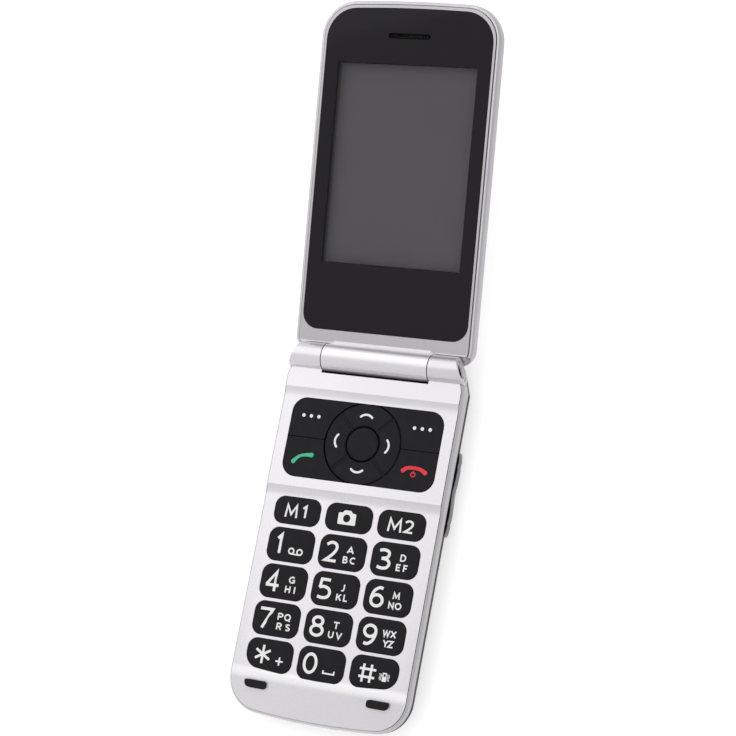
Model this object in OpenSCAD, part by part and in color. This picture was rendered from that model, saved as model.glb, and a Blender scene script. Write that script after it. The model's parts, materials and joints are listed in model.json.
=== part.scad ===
// Flip phone, open against its stop and lying on its back.
// X runs across the phone, Y towards the hinge, Z out of the keypad.
// The origin is the centre of the base's flat back face. Millimetres.

/* [Base] */
// Width across the side frame
body_w = 55.7; // [54.5:0.1:58]
// Length of the base housing from the chin to its hinge end
base_l = 106.1; // [105:0.1:110]
// Height of the key tops above the back face
key_top_z = 10.6; // [10.5:0.1:12]
// Height of the rear shell, where the side frame starts
split_z = 7.4; // [7.2:0.1:7.6]
// Radius of the bowed chin edge
chin_bow_r = 220; // [150:5:400]
// Corner radius at the chin
chin_corner_r = 10; // [8:0.5:12]
// Wall of the side frame
frame_wall = 1.8; // [1.6:0.1:2]
// Width of the ledge that carries the front plate
ledge_w = 1; // [0.7:0.1:1.2]
// Rim of the side frame beside the front plate
rim_w = 0.65; // [0.6:0.05:0.8]
// Thickness of the front plate's brim over the side frame
brim_t = 0.5; // [0.4:0.05:0.6]
// Groove between the side frame and the front plate
plate_groove = 0.12; // [0.1:0.01:0.2]
// Wall of the rear shell
rear_wall = 1.4; // [1.2:0.1:1.6]
// Inset of the flat back face from the side frame's outline
back_inset = 4; // [3:0.25:4.5]
// Length of the slanted corners at the hinge end
slant_l = 7.55; // [6.5:0.25:9]
// Width lost on each side over the slanted corners
slant_w = 2.8; // [2.4:0.05:3.2]

/* [Front plate] */
// Height of the key tops above the key field
key_proud = 0.35; // [0.2:0.05:0.6]
// Rise of the navigation area above the key field
nav_rise = 0.6; // [0.3:0.05:0.8]
// Rise of the hinge band above the navigation area
band_rise = 0.5; // [0.3:0.05:0.6]
// Run of the hollow curve below each step
step_run = 3; // [2.5:0.25:3.5]
// Fall of the chin over its length
chin_drop = 1.3; // [0.8:0.1:1.5]
// Thickness of the plate
plate_t = 1.3; // [1.2:0.05:1.5]
// Width of the hinge band
band_w = 4.8; // [4:0.1:5.5]
// Clear space round every key
key_clear = 0.15; // [0.1:0.01:0.2]

/* [Keypad] */
// Plate between the outer keys and the side frame's outline
key_side = 4.4; // [4.2:0.1:5]
// Strip of plate between two key columns
col_gap = 1.93; // [1.5:0.01:2.5]
// Plate from the chin edge to the crease below the keys
chin_l = 11.9; // [11:0.1:14]
// Height of the memory and camera keys as a share of a number key's
top_key_share = 0.816; // [0.75:0.002:0.9]
// Height of the bottom row of keys as a share of a number key's
low_key_share = 0.968; // [0.9:0.002:1]
// Strip of plate between two key rows
row_gap = 1.17; // [1:0.01:1.3]
// Extra strip under the memory and camera keys
top_row_gap = 0.15; // [0:0.05:0.4]
// Corner radius of a key
key_r = 2.8; // [2:0.1:3.2]
// Corner radius of the star and hash keys at the chin corners
outer_key_r = 4.2; // [3:0.1:4.4]
// Plate between the lower step and the top key row
step_to_keys = 3.1; // [2.8:0.1:3.6]
// Travel of a key
key_travel = 0.3; // [0.2:0.05:0.35]
// Radius of the sphere that crowns a key
key_crown_r = 140; // [100:5:250]

/* [Navigation keys] */
// Plate between the navigation panel and the side frame's outline
nav_side = 4.22; // [4:0.02:5.4]
// Height of the navigation panel
nav_l = 23.02; // [22:0.02:23.4]
// Corner radius of the navigation panel
nav_r = 4.2; // [3:0.1:5]
// Plate between the navigation panel and each step
nav_margin = 2.95; // [2.6:0.05:3.4]
// Radius of the navigation ring
ring_r = 11.75; // [11.5:0.05:12]
// Radius of the centre key
ok_r = 4.95; // [4.2:0.05:5.2]
// Gap between neighbouring navigation keys
nav_gap = 0.22; // [0.2:0.01:0.3]
// Height of the navigation keys above the plate round them
nav_proud = 0.1; // [0.05:0.05:0.3]
// Rounding of the navigation keys' edges
nav_round = 0.6; // [0.3:0.05:0.8]
// Radius of the hollows that part the ring into its four ends
ring_hollow_r = 0.7; // [0.5:0.05:0.9]

/* [Hinge] */
// Distance from the housing's hinge end back to the hinge axis
hinge_setback = 1.85; // [1.7:0.05:2.1]
// Height of the hinge axis below the key tops
hinge_drop = 0.27; // [0.2:0.01:0.4]
// Radius of the hinge barrel
barrel_r = 4; // [3.8:0.05:4.1]
// Length of each knuckle out to the side frame's outline
knuckle_l = 11.05; // [10.5:0.05:12]
// Gap between the centre barrel and each knuckle
knuckle_gap = 0.3; // [0.2:0.05:0.4]
// Gap between the barrel and the housing round it
barrel_clear = 0.35; // [0.3:0.05:0.45]
// Radius of the bore through the barrel and the knuckles
bore_r = 2.6; // [2.5:0.05:2.7]
// Running clearance of the hinge parts in their bores
hinge_fit = 0.05; // [0.02:0.01:0.08]
// Opening of the slot in front of the centre barrel
slot_gap = 0.8; // [0.7:0.05:1]
// Angle between the shut lid and the open lid
lid_open_angle = 166; // [162:0.5:167]
// Extra turn that lays the shut lid on its bumpers in degrees
lid_shut_turn = 0.4; // [0.2:0.05:0.5]

/* [Lid] */
// Distance from the hinge axis to the lid's tip
lid_l = 103.5; // [102.5:0.1:104]
// Distance from the hinge axis to the lid's hinge end
lid_end = 1.2; // [1.1:0.05:1.5]
// Distance from the hinge axis to the lid's inner face
lid_face_drop = 1.37; // [1.3:0.01:1.5]
// Thickness of the lid
lid_t = 7.2; // [7:0.1:7.6]
// Radius of the bowed edge at the tip
lid_bow_r = 450; // [300:25:900]
// Corner radius at the tip
lid_tip_r = 10.5; // [9:0.1:12]
// Corner radius at the hinge end
lid_end_r = 4.6; // [4:0.1:5.5]
// Rim of the lid's outer shell
lid_rim = 1; // [0.85:0.05:1.1]
// Groove between the inner frame and the outer shell
lid_groove = 0.25; // [0.2:0.05:0.35]
// Thickness of the inner frame
lid_frame_t = 1.6; // [1.5:0.05:1.8]
// Wall of the outer shell
lid_wall = 1.2; // [1:0.05:1.3]
// Rim between the window and the side of the lid
window_side = 1.95; // [1.85:0.05:2.8]
// Distance from the hinge axis to the window
window_start = 8; // [7:0.1:8.5]
// Frame left between the window and the lid's tip
window_tip_margin = 2.15; // [1.9:0.05:2.6]
// Corner radius of the window at the tip
window_tip_r = 9; // [8:0.1:10]
// Corner radius of the window at the hinge
window_end_r = 4.7; // [4:0.1:6]
// Thickness of the window
window_t = 0.8; // [0.6:0.05:0.85]
// Depth of the window below the inner frame
window_sink = 0.12; // [0.05:0.01:0.2]
// Distance from the side of the lid to the clear part of the window
view_side = 6.25; // [5.9:0.05:7]
// Distance from the clear part of the window to the lid's tip
view_tip = 18.2; // [17.8:0.1:20]
// Distance from the hinge axis to the clear part of the window
view_start = 27.7; // [26.5:0.1:28]
// Depth of the display below the mask
view_depth = 1.6; // [1.2:0.05:1.7]
// Frame of the display module round its clear part
display_frame = 3.4; // [3:0.1:3.6]
// Length of the earpiece slot
ear_l = 13.1; // [12:0.1:14]
// Width of the earpiece slot
ear_w = 1.5; // [1.2:0.05:1.8]
// Distance from the earpiece slot to the lid's tip
ear_to_tip = 10.05; // [9.8:0.05:10.5]

/* [Power and fittings] */
// Room on each side of the battery for its bay and the fittings
battery_side = 10.85; // [10.4:0.05:13]
// Room beyond both ends of the battery, for the aerial, card holder, loudspeaker and hinge
battery_ends = 56.1; // [55.6:0.5:60]
// Thickness of the battery
battery_t = 4.8; // [4.6:0.1:4.9]
// Thickness of the battery cover
cover_t = 1.1; // [1:0.05:1.2]
// How far the battery cover reaches past each side of the battery
cover_lap = 5.5; // [4.5:0.25:5.75]
// How far the battery cover reaches past each end of the battery
cover_end_lap = 9; // [8:0.25:10]
// Thickness of the main board
board_t = 0.8; // [0.6:0.05:0.85]
// Length of the volume rocker
rocker_l = 24; // [22:0.2:26]
// Height of the volume rocker
rocker_h = 2.4; // [2.2:0.1:2.7]
// How far the volume rocker stands out of the side frame
rocker_proud = 0.35; // [0.25:0.05:0.5]
// Length of each lid bumper
bumper_l = 6.4; // [5.6:0.1:7.2]
// Width of each lid bumper
bumper_w = 2.2; // [1.8:0.1:2.6]
// Width of the opening for the charging plug
usb_w = 8; // [7.8:0.1:9]
// Spacing of the two charging contacts
contact_spacing = 12.4; // [12:0.1:14]
// Radius of a case screw's head
screw_head_r = 1.5; // [1.3:0.1:1.6]

/* [Hidden] */

// Curves: steps of an outline's corner and bow, of a step's hollow, and facets of a circle
corner_steps = 10;
bow_steps = 6;
hollow_steps = 6;
$fn = 48;
far = 200;
sliver = 0.01;

// Clearance between pieces that seat on each other
seat = 0.05;

// Colours
silver = [0.84, 0.82, 0.84];
shell_black = [0.10, 0.10, 0.11];
key_black = [0.15, 0.14, 0.16];
rubber_black = [0.07, 0.07, 0.07];
glass_black = [0.16, 0.16, 0.17];
screen_grey = [0.34, 0.34, 0.34];
board_green = [0.05, 0.35, 0.22];
metal = [0.75, 0.75, 0.76];
gold = [0.83, 0.68, 0.35];

// Heights, from the back face up
key_field_z = key_top_z - key_proud;
nav_area_z = key_field_z + nav_rise;
band_z = nav_area_z + band_rise;
under_z = key_field_z - plate_t;
hinge_z = key_top_z - hinge_drop;
floor_t = 1;
floor_z = cover_t + floor_t;
battery_z = cover_t + 0.1;
bay_top_z = battery_z + battery_t + 0.1;
bay_roof_t = 0.5;
board_z = bay_top_z + bay_roof_t + seat;
board_top_z = board_z + board_t;
sheet_z = board_top_z + seat;
sheet_t = 0.12;
dome_r = 2.3;
dome_h = 0.23;
dome_top_z = sheet_z + sheet_t + dome_h;
mat_z = sheet_z + sheet_t + seat;
flange_t = 0.2;
flange_w = 0.35;
flange_z = under_z - seat - flange_t;
mat_top_z = flange_z - key_travel - seat;
plunger_z = dome_top_z + key_travel + seat;
plunger_r = 1.2;
ledge_t = 0.7;

// Key sizes are whole hundredths on both sides of their middle
function even(x) = 0.02 * round(x / 0.02);

// Lengths, from the centre of the back face
half_w = body_w / 2;
chin_y = -base_l / 2;
rear_y = base_l / 2;
bend_y = rear_y - slant_l;
hinge_y = rear_y - hinge_setback;
slot_y = hinge_y - barrel_r - slot_gap;
step1_y = slot_y - band_w;
nav_y = step1_y - nav_margin - nav_l / 2;
step2_y = step1_y - 2 * nav_margin - nav_l;
crease_y = chin_y + chin_l;
keys_to_crease = 0.45;
last_row = 4;
rows_l = step2_y - step_to_keys - crease_y - keys_to_crease - last_row * row_gap - top_row_gap;
key_l = rows_l / (last_row - 1 + top_key_share + low_key_share);
row_ls = [for (share = [top_key_share, 1, 1, 1, low_key_share]) even(share * key_l)];
row_gaps = [row_gap + top_row_gap, row_gap, row_gap, row_gap, 0];
function row_top(r) =
    r == 0 ? step2_y - step_to_keys : row_top(r - 1) - row_ls[r - 1] - row_gaps[r - 1];
function row_y(r) = row_top(r) - row_ls[r] / 2;
keys_end_y = row_top(last_row) - row_ls[last_row];
chin_slope = chin_drop / (crease_y - chin_y);
plate_inset = frame_wall + plate_groove;
brim_inset = rim_w + plate_groove;
inner_inset = frame_wall + ledge_w + 0.2;

// Widths, from the side frame's outline
key_w = even((body_w - 2 * key_side - 2 * col_gap) / 3);
col_pitch = key_w + col_gap;
nav_w = body_w - 2 * nav_side;
barrel_l = body_w - 2 * knuckle_l - 2 * knuckle_gap;
window_w = body_w - 2 * window_side;
view_w = body_w - 2 * view_side;
view_l = lid_l - view_start - view_tip;
battery_w = body_w - 2 * battery_side;
battery_l = base_l - battery_ends;
cover_w = battery_w + 2 * cover_lap;
cover_l = battery_l + 2 * cover_end_lap;

// Outlines ---------------------------------------------------------------

function arc_pts(c, r, a0, a1, steps, first = 0) =
    [for (i = [first:steps])
        let (a = a0 + (a1 - a0) * i / steps) c + r * [cos(a), sin(a)]];

// Half of an edge that bows out and ends in a round corner, from its middle at the origin
function bowed_pts(hw, bow_r, corner_r, inset) =
    let (a = asin((hw - corner_r) / (bow_r - corner_r)))
    concat(arc_pts([0, bow_r], bow_r - inset, 270, 270 + a, bow_steps),
           arc_pts([hw - corner_r, bow_r - (bow_r - corner_r) * cos(a)], corner_r - inset,
                   270 + a, 360, corner_steps, 1));

// Whole outline from its right half
module outline(half) {
    polygon(concat(half, [for (i = [len(half) - 1:-1:0])
        if (half[i][0] > sliver) [-half[i][0], half[i][1]]]));
}

// Base: bowed chin, straight sides with extra points at the heights ys, and slanted corners
slant_angle = atan(slant_w / slant_l);
slant_n = [cos(slant_angle), sin(slant_angle)];
function base_half(inset, ys = []) =
    let (x = half_w - inset, y = rear_y - inset, c = slant_n * [half_w, bend_y] - inset,
         chin = [for (p = bowed_pts(half_w, chin_bow_r, chin_corner_r, inset)) p + [0, chin_y]],
         side_y0 = chin[len(chin) - 1][1] + 0.1,
         bend = [x, (c - slant_n[0] * x) / slant_n[1]])
    concat(chin, [for (s = ys) if (s > side_y0) [x, s]],
           [bend, [(c - slant_n[1] * y) / slant_n[0], y]]);
module base_plan(inset = 0) {
    outline(base_half(inset));
}

// Plate with round corners at its hinge end and a bowed edge at its tip
module flap_plan(hw, y0, y1, end_r, bow_r, tip_r, inset) {
    x = hw - inset;
    r = max(end_r - inset, 0.3);
    tip = bowed_pts(hw, bow_r, tip_r, inset);
    outline(concat(
        arc_pts([x - r, y0 + inset + r], r, 270, 360, corner_steps),
        [for (i = [len(tip) - 1:-1:0]) [tip[i][0], y1 - tip[i][1]]]));
}
module lid_plan(inset = 0) {
    flap_plan(half_w, lid_end, lid_l, lid_end_r, lid_bow_r, lid_tip_r, inset);
}
window_end = lid_l - window_tip_margin;
module window_plan(inset = 0) {
    flap_plan(window_w / 2, window_start, window_end, window_end_r,
              lid_bow_r - window_tip_margin, window_tip_r, inset);
}

module round_rect(w, l, r) {
    square([w - 2 * r, l], center = true);
    square([w, l - 2 * r], center = true);
    for (x = [-1, 1], y = [-1, 1])
        translate([x * (w / 2 - r), y * (l / 2 - r)])
            circle(r);
}

module slot_plan(l, w) {
    square([l - w, w], center = true);
    for (x = [-1, 1])
        translate([x * (l - w) / 2, 0])
            circle(w / 2);
}

// Placing helpers ----------------------------------------------------------

module both_sides() {
    children();
    mirror([1, 0, 0])
        children();
}
module at_hinge() {
    translate([0, hinge_y, hinge_z])
        children();
}
// The lid's own frame: Y from the hinge axis to the tip, Z out of the inner face
module in_lid() {
    at_hinge()
        rotate([180 - lid_open_angle, 0, 0])
            children();
}
module rod(r, x0, x1) {
    translate([x0, 0, 0])
        rotate([0, 90, 0])
            cylinder(r = r, h = x1 - x0);
}
module block(x, y, z) {
    translate([x[0], y[0], z[0]])
        cube([x[1] - x[0], y[1] - y[0], z[1] - z[0]]);
}
module layer(z, h = sliver) {
    translate([0, 0, z])
        linear_extrude(h)
            children();
}
// Extrudes a profile drawn in Y and Z over the whole width
module across() {
    rotate([90, 0, 90])
        linear_extrude(far, center = true)
            children();
}
// Everything beyond the slanted corner on the right
module beyond_slant() {
    translate([half_w, bend_y, 0])
        rotate([0, 0, slant_angle])
            translate([0, -far / 2, -far / 2])
                cube(far);
}

// Front plate and the housings round it --------------------------------------

knuckle_x = barrel_l / 2 + knuckle_gap;
clear_r = barrel_r + barrel_clear;
seat_r = barrel_r + seat;

function chin_z(y) = key_field_z - (crease_y - y) * chin_slope;
// Hollow curve from a crease down to the next level
function hollow_pts(y, z_high, z_low) =
    [for (i = [0:hollow_steps])
        let (t = i / hollow_steps)
        [y - step_run * t, z_low + (z_high - z_low) * pow(1 - t, 2)]];
// Top of the plate from the hinge axis to the chin, lowered by drop
function plate_top(drop = 0) =
    [for (p = concat(
        [[hinge_y, band_z]],
        hollow_pts(step1_y, band_z, nav_area_z),
        hollow_pts(step2_y, nav_area_z, key_field_z),
        [[crease_y, key_field_z], [chin_y, chin_z(chin_y)]])) [p[0], p[1] - drop]];
module plate_profile() {
    polygon(concat([[hinge_y, under_z]], plate_top(),
        [[chin_y, chin_z(chin_y) - plate_t], [crease_y, under_z]]));
}
// Everything above, or below, the underside of the plate's brim
module above_brim_bed() {
    drop = brim_t + seat;
    across()
        polygon(concat([[far, far], [far, band_z - drop]], plate_top(drop),
            [[-far, chin_z(-far) - drop], [-far, far]]));
}
module below_brim() {
    across()
        polygon(concat([[far, -2 * far], [far, band_z - brim_t]], plate_top(brim_t),
            [[-far, chin_z(-far) - brim_t], [-far, -2 * far]]));
}
// Everything above, or below, a line under the plate
module above_plate_bed(drop) {
    across()
        polygon([[far, under_z - drop], [far, far], [-far, far],
            [-far, chin_z(-far) - plate_t - drop], [crease_y, under_z - drop]]);
}
module below_plate_bed(drop) {
    across()
        polygon([[far, -far], [far, under_z - drop], [crease_y, under_z - drop],
            [-far, chin_z(-far) - plate_t - drop], [-far, -2 * far]]);
}

// Case screws: two behind the battery cover, two in the chin
screw_side = 7.45;
chin_screw_x = 0.44 * half_w;
screw_xy = [[half_w - screw_side, step2_y], [chin_screw_x, chin_y + 7.05]];
screw_r = 0.75;
screw_z = cover_t + 0.2;
screw_head_h = 1.1;
boss_r = 1.9;
rear_boss_r = 2.3;
module at_screws() {
    both_sides()
        for (p = screw_xy)
            translate([p[0], p[1], 0])
                children();
}

// Number keys: their outline, and the hole for it when grown
low_bow_r = chin_bow_r - (keys_end_y - chin_y);
module key_plan(r, c, grow = 0) {
    side = c - 1;
    if (r == last_row && side != 0)
        translate([0, keys_end_y])
            scale([side, 1])
                corner_key_plan(row_ls[r], grow);
    else
        translate([side * col_pitch, row_y(r)])
            intersection() {
                round_rect(key_w + 2 * grow, row_ls[r] + 2 * grow, key_r + grow);
                if (r == last_row)
                    translate([0, low_bow_r - row_ls[r] / 2])
                        circle(low_bow_r + grow, $fn = 360);
            }
}
// Hash key, whose lower edge follows the bow of the chin, from the lowest point of that bow
function on_bow(x, r) = [x, low_bow_r - sqrt(pow(low_bow_r - r, 2) - x * x)];
function bow_turn(x, r) = asin(x / (low_bow_r - r));
module corner_key_plan(l, grow) {
    x0 = col_pitch - key_w / 2 + key_r;
    x1 = col_pitch + key_w / 2 - key_r;
    x2 = col_pitch + key_w / 2 - outer_key_r;
    a0 = 270 + bow_turn(x0, key_r);
    a2 = 270 + bow_turn(x2, outer_key_r);
    polygon(concat(
        arc_pts([x1, l - key_r], key_r + grow, 0, 90, corner_steps),
        arc_pts([x0, l - key_r], key_r + grow, 90, 180, corner_steps),
        arc_pts(on_bow(x0, key_r), key_r + grow, 180, a0, corner_steps),
        arc_pts([0, low_bow_r], low_bow_r + grow, a0, a2, bow_steps, 1),
        arc_pts(on_bow(x2, outer_key_r), outer_key_r + grow, a2, 360, corner_steps, 1)));
}
module nav_plan(grow = 0) {
    translate([0, nav_y])
        round_rect(nav_w + 2 * grow, nav_l + 2 * grow, nav_r + grow);
}

// Lid bumpers: corner radii as shares of their width, the largest at the outer chin end
bumper_inset = 5.7;
bumper_round = [0.22, 0.36, 0.36, 0.7];
bumper_y = crease_y - 2.2 - bumper_w / 2;
bumper_far_y = bumper_y - bumper_w / 2;
bumper_top_z = hinge_z + lid_face_drop * cos(lid_shut_turn)
    - (hinge_y - bumper_far_y) * sin(lid_shut_turn) - 0.03;
bumper_z = chin_z(bumper_far_y) - 0.6;
module bumper_plan(grow = 0) {
    x1 = half_w - bumper_inset;
    x0 = x1 - bumper_l;
    y1 = bumper_y + bumper_w / 2;
    y0 = bumper_far_y;
    r = bumper_w * bumper_round;
    both_sides()
        polygon(concat(
            arc_pts([x1 - r[0], y1 - r[0]], r[0] + grow, 0, 90, corner_steps),
            arc_pts([x0 + r[1], y1 - r[1]], r[1] + grow, 90, 180, corner_steps),
            arc_pts([x0 + r[2], y0 + r[2]], r[2] + grow, 180, 270, corner_steps),
            arc_pts([x1 - r[3], y0 + r[3]], r[3] + grow, 270, 360, corner_steps)));
}

module knuckle() {
    difference() {
        at_hinge()
            rod(barrel_r, knuckle_x, half_w);
        beyond_slant();
    }
}
module front_plate() {
    color(silver)
        difference() {
            union() {
                difference() {
                    intersection() {
                        across()
                            plate_profile();
                        linear_extrude(far)
                            difference() {
                                base_plan(brim_inset);
                                translate([-knuckle_x, slot_y])
                                    square([2 * knuckle_x, far]);
                            }
                    }
                    difference() {
                        below_brim();
                        linear_extrude(far)
                            base_plan(plate_inset);
                    }
                }
                both_sides()
                    knuckle();
                at_screws()
                    translate([0, 0, board_top_z + seat])
                        cylinder(r = boss_r, h = under_z - board_top_z);
            }
            at_hinge()
                rod(bore_r, -far / 2, far / 2);
            both_sides()
                end_cap(0.03);
            for (r = [0:last_row], c = [0:2])
                linear_extrude(far)
                    key_plan(r, c, key_clear);
            linear_extrude(far)
                nav_plan(key_clear);
            layer(bumper_z - seat, far)
                bumper_plan(seat);
            at_screws()
                cylinder(r = screw_r + seat, h = under_z + 0.4);
            for (x = [-1, 1])
                translate([x * contact_spacing / 2 - contact_w / 2 - 0.15, -far, 0])
                    cube([contact_w + 0.3, far + contact_foot_y + 0.3, contact_z + 0.55]);
        }
}

// Slanted caps that close the knuckles, each dished
cap_r = 2.95;
cap_t = 1.6;
cap_sink = 0.15;
dish_r = 2.2;
dish_floor_t = 0.6;
module end_cap(grow = 0) {
    x = half_w - (hinge_y - bend_y) * tan(slant_angle);
    translate([x, hinge_y, hinge_z])
        rotate([0, 0, slant_angle])
            rod(cap_r + grow, -cap_t - cap_sink - grow, grow > 0 ? 1 : -cap_sink);
}
module hinge_end_caps() {
    x = half_w - (hinge_y - bend_y) * tan(slant_angle);
    color(silver)
        both_sides()
            difference() {
                end_cap();
                translate([x, hinge_y, hinge_z])
                    rotate([0, 0, slant_angle])
                        rod(dish_r, dish_floor_t - cap_t - cap_sink, 1);
            }
}

// Side frame: the plate's steps carried round the housing, with a rounded outer edge
frame_drop = 0.25;
edge_levels = [[0.9, 0], [0.5, 0.09], [0.24, 0.24], [0.08, 0.44], [0, 0.7]];
frame_ys = [crease_y, step2_y - step_run, step2_y, step1_y - step_run, step1_y];
function frame_top(y) = lookup(y, [[chin_y, chin_z(chin_y)], [crease_y, key_field_z],
    [step2_y - step_run, key_field_z], [step2_y, nav_area_z],
    [step1_y - step_run, nav_area_z], [step1_y, band_z]]) - frame_drop;
module frame_block() {
    n = len(base_half(0, frame_ys));
    m = 2 * n - 1;
    rings = len(edge_levels) + 1;
    pts = [for (k = [0:rings - 1])
        let (half = base_half(k == 0 ? 0 : edge_levels[k - 1][1], frame_ys))
        each [for (j = [0:m - 1])
            let (i = j < n ? j : m - j, p = half[i])
            [j < n ? p[0] : -p[0], p[1], k == 0 ? split_z : frame_top(p[1]) - edge_levels[k - 1][0]]]];
    sides = [for (k = [0:rings - 2], j = [0:m - 1])
        let (a = k * m + j, b = k * m + (j + 1) % m)
        each [[a, a + m, b + m], [a, b + m, b]]];
    t = (rings - 1) * m;
    top = [for (i = [1:n - 2]) [t + m - i, t + m - i - 1, t + i + 1, t + i]];
    polyhedron(points = pts,
               faces = concat([[for (j = [0:m - 1]) j]], sides, [[t + m - 1, t + 1, t]], top));
}
module side_frame() {
    color(silver)
        difference() {
            frame_block();
            linear_extrude(far)
                base_plan(frame_wall + ledge_w);
            intersection() {
                linear_extrude(far)
                    base_plan(frame_wall);
                above_plate_bed(seat);
            }
            intersection() {
                linear_extrude(far)
                    base_plan(rim_w);
                above_brim_bed();
            }
            intersection() {
                linear_extrude(far)
                    base_plan(frame_wall - 0.2);
                below_plate_bed(ledge_t + seat);
                block([-far, far], [crease_y, far], [-far, far]);
            }
            at_hinge()
                rod(clear_r, -knuckle_x, knuckle_x);
            at_hinge()
                rod(seat_r, -far / 2, far / 2);
            for (x = [-1, 1])
                translate([x * contact_spacing / 2 - contact_w / 2 - 0.05, chin_y - 1, contact_z - 0.05])
                    cube([contact_w + 0.1, frame_wall + ledge_w + 1.5, contact_h + 0.1]);
        }
}

// Levels of the rear shell: height as a share of the shell, and inset as a share of the flat's
rear_levels = [[0, 1], [0.16, 0.6], [0.4, 0.3], [0.68, 0.1], [1, 0]];
rear_low_inset = 0.6 * back_inset + rear_wall;
rear_high_inset = 0.25 * back_inset + rear_wall;
rear_step_z = split_z - 3.4;
rear_end_y = hinge_y - clear_r - rear_wall;
bay_wall = 1;
bay_gap = 0.2;
bay_w = battery_w + 2 * bay_gap;
bay_l = battery_l + 2 * bay_gap;
cover_y = 2;
cover_gap = 0.1;
usb_h = 2.6;
usb_z = board_z - seat - usb_h / 2;
usb_clear = 0.15;
mic_x = (usb_w / 2 + chin_screw_x - rear_boss_r) / 2;
mic_y = chin_y + rear_high_inset + 2.2;
speaker_w = 15;
speaker_l = 8.6;
speaker_h = 2.9;
speaker_x = -10;
speaker_y = rear_end_y - speaker_l / 2 - 0.3;
speaker_slots = 3;
module rear_shell() {
    color(shell_black)
        difference() {
            union() {
                difference() {
                    hull()
                        for (e = rear_levels)
                            layer(e[0] * (split_z - sliver))
                                base_plan(back_inset * e[1]);
                    layer(floor_z, far)
                        base_plan(rear_low_inset);
                    intersection() {
                        layer(rear_step_z, far)
                            base_plan(rear_high_inset);
                        block([-far, far], [-far, rear_end_y], [0, far]);
                    }
                }
                // Wall under the hinge that the low hollow would leave thin
                intersection() {
                    layer(floor_z - sliver, split_z - floor_z + sliver)
                        base_plan(rear_low_inset - sliver);
                    block([-far, far], [rear_end_y, far], [0, far]);
                }
                layer(floor_z - sliver, board_z - seat - floor_z + sliver)
                    square([bay_w + 2 * bay_wall, bay_l + 2 * bay_wall], center = true);
                at_screws()
                    translate([0, 0, floor_z - sliver])
                        cylinder(r = rear_boss_r, h = board_z - seat - floor_z + sliver);
            }
            layer(-sliver, bay_top_z + sliver)
                square([bay_w, bay_l], center = true);
            block([-connector_w / 2 - bay_gap, connector_w / 2 + bay_gap],
                  [bay_l / 2 - sliver, bay_l / 2 + bay_wall + sliver],
                  [connector_z - bay_gap, far]);
            layer(-sliver, cover_t + cover_gap + sliver)
                translate([0, cover_y])
                    round_rect(cover_w + 2 * cover_gap, cover_l + 2 * cover_gap, 3 + cover_gap);
            at_hinge()
                rod(clear_r, -knuckle_x, knuckle_x);
            at_hinge()
                rod(seat_r, -far / 2, far / 2);
            at_screws()
                translate([0, 0, -sliver])
                    cylinder(r = screw_r + 0.15, h = far);
            at_screws()
                translate([0, 0, -sliver])
                    cylinder(r = screw_head_r + 0.15, h = screw_z + screw_head_h + sliver);
            // Plug opening and microphone hole in the chin
            translate([0, chin_y - 1, usb_z])
                rotate([-90, 0, 0])
                    linear_extrude(rear_high_inset + 2)
                        round_rect(usb_w, usb_h + 2 * usb_clear, 1);
            translate([mic_x, chin_y - 1, board_z - 1])
                rotate([-90, 0, 0])
                    cylinder(r = 0.4, h = rear_high_inset + 2);
            for (i = [0:speaker_slots - 1])
                translate([speaker_x, speaker_y + (i - (speaker_slots - 1) / 2) * 2.3, -sliver])
                    linear_extrude(floor_z + 2 * sliver)
                        slot_plan(10, 1.2);
            // Pocket and windows for the volume rocker
            block([rocker_floor_x, far], [rocker_y - rocker_l / 2 - 0.15, rocker_y + rocker_l / 2 + 0.15],
                  [rocker_z - 0.15, rocker_z + rocker_h + 0.15]);
            for (y = [-1, 1])
                block([rocker_floor_x - 2, far],
                      [rocker_y + y * switch_y - 0.9, rocker_y + y * switch_y + 0.9],
                      [rocker_mid_z - 0.75, rocker_mid_z + 0.75]);
        }
    color(shell_black)
        translate([rocker_pivot_x, rocker_y, rocker_z - 0.15])
            cylinder(r = pivot_r, h = rocker_h + 0.3, $fn = 24);
}

// Volume rocker on a half-round rib, and the two switches behind it
rocker_to_slot = 29.5;
rocker_y = slot_y - rocker_to_slot;
rocker_z = rear_step_z - 0.25;
rocker_mid_z = rocker_z + rocker_h / 2;
rocker_floor_x = half_w - 1.65;
rocker_in_x = rocker_floor_x + 0.4;
rocker_out_x = half_w + rocker_proud;
rocker_pivot_x = rocker_floor_x + 0.05;
pivot_r = 0.45;
rocker_waist = 0.3;
rocker_dip = 0.15;
switch_y = 8;
stem_w = 1.2;
stem_h = 0.9;
head_h = 1.4;
head_t = 0.25;
head_x = half_w - rear_high_inset - 0.2;
module volume_rocker() {
    color(metal)
        difference() {
            union() {
                layer(rocker_z, rocker_h)
                    translate([0, rocker_y])
                        polygon(concat(rocker_face, rocker_back));
                for (y = [-1, 1])
                    translate([0, rocker_y + y * switch_y, rocker_mid_z]) {
                        block([head_x - 0.05, rocker_in_x + sliver],
                              [-stem_w / 2, stem_w / 2], [-stem_h / 2, stem_h / 2]);
                        block([head_x - head_t, head_x],
                              [-stem_w / 2, stem_w / 2], [-head_h / 2, head_h / 2]);
                    }
            }
            translate([rocker_pivot_x, rocker_y, 0])
                cylinder(r = pivot_r + seat, h = far, $fn = 24);
        }
}
rocker_back = [[rocker_in_x, rocker_l / 2], [rocker_in_x, -rocker_l / 2]];
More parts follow.
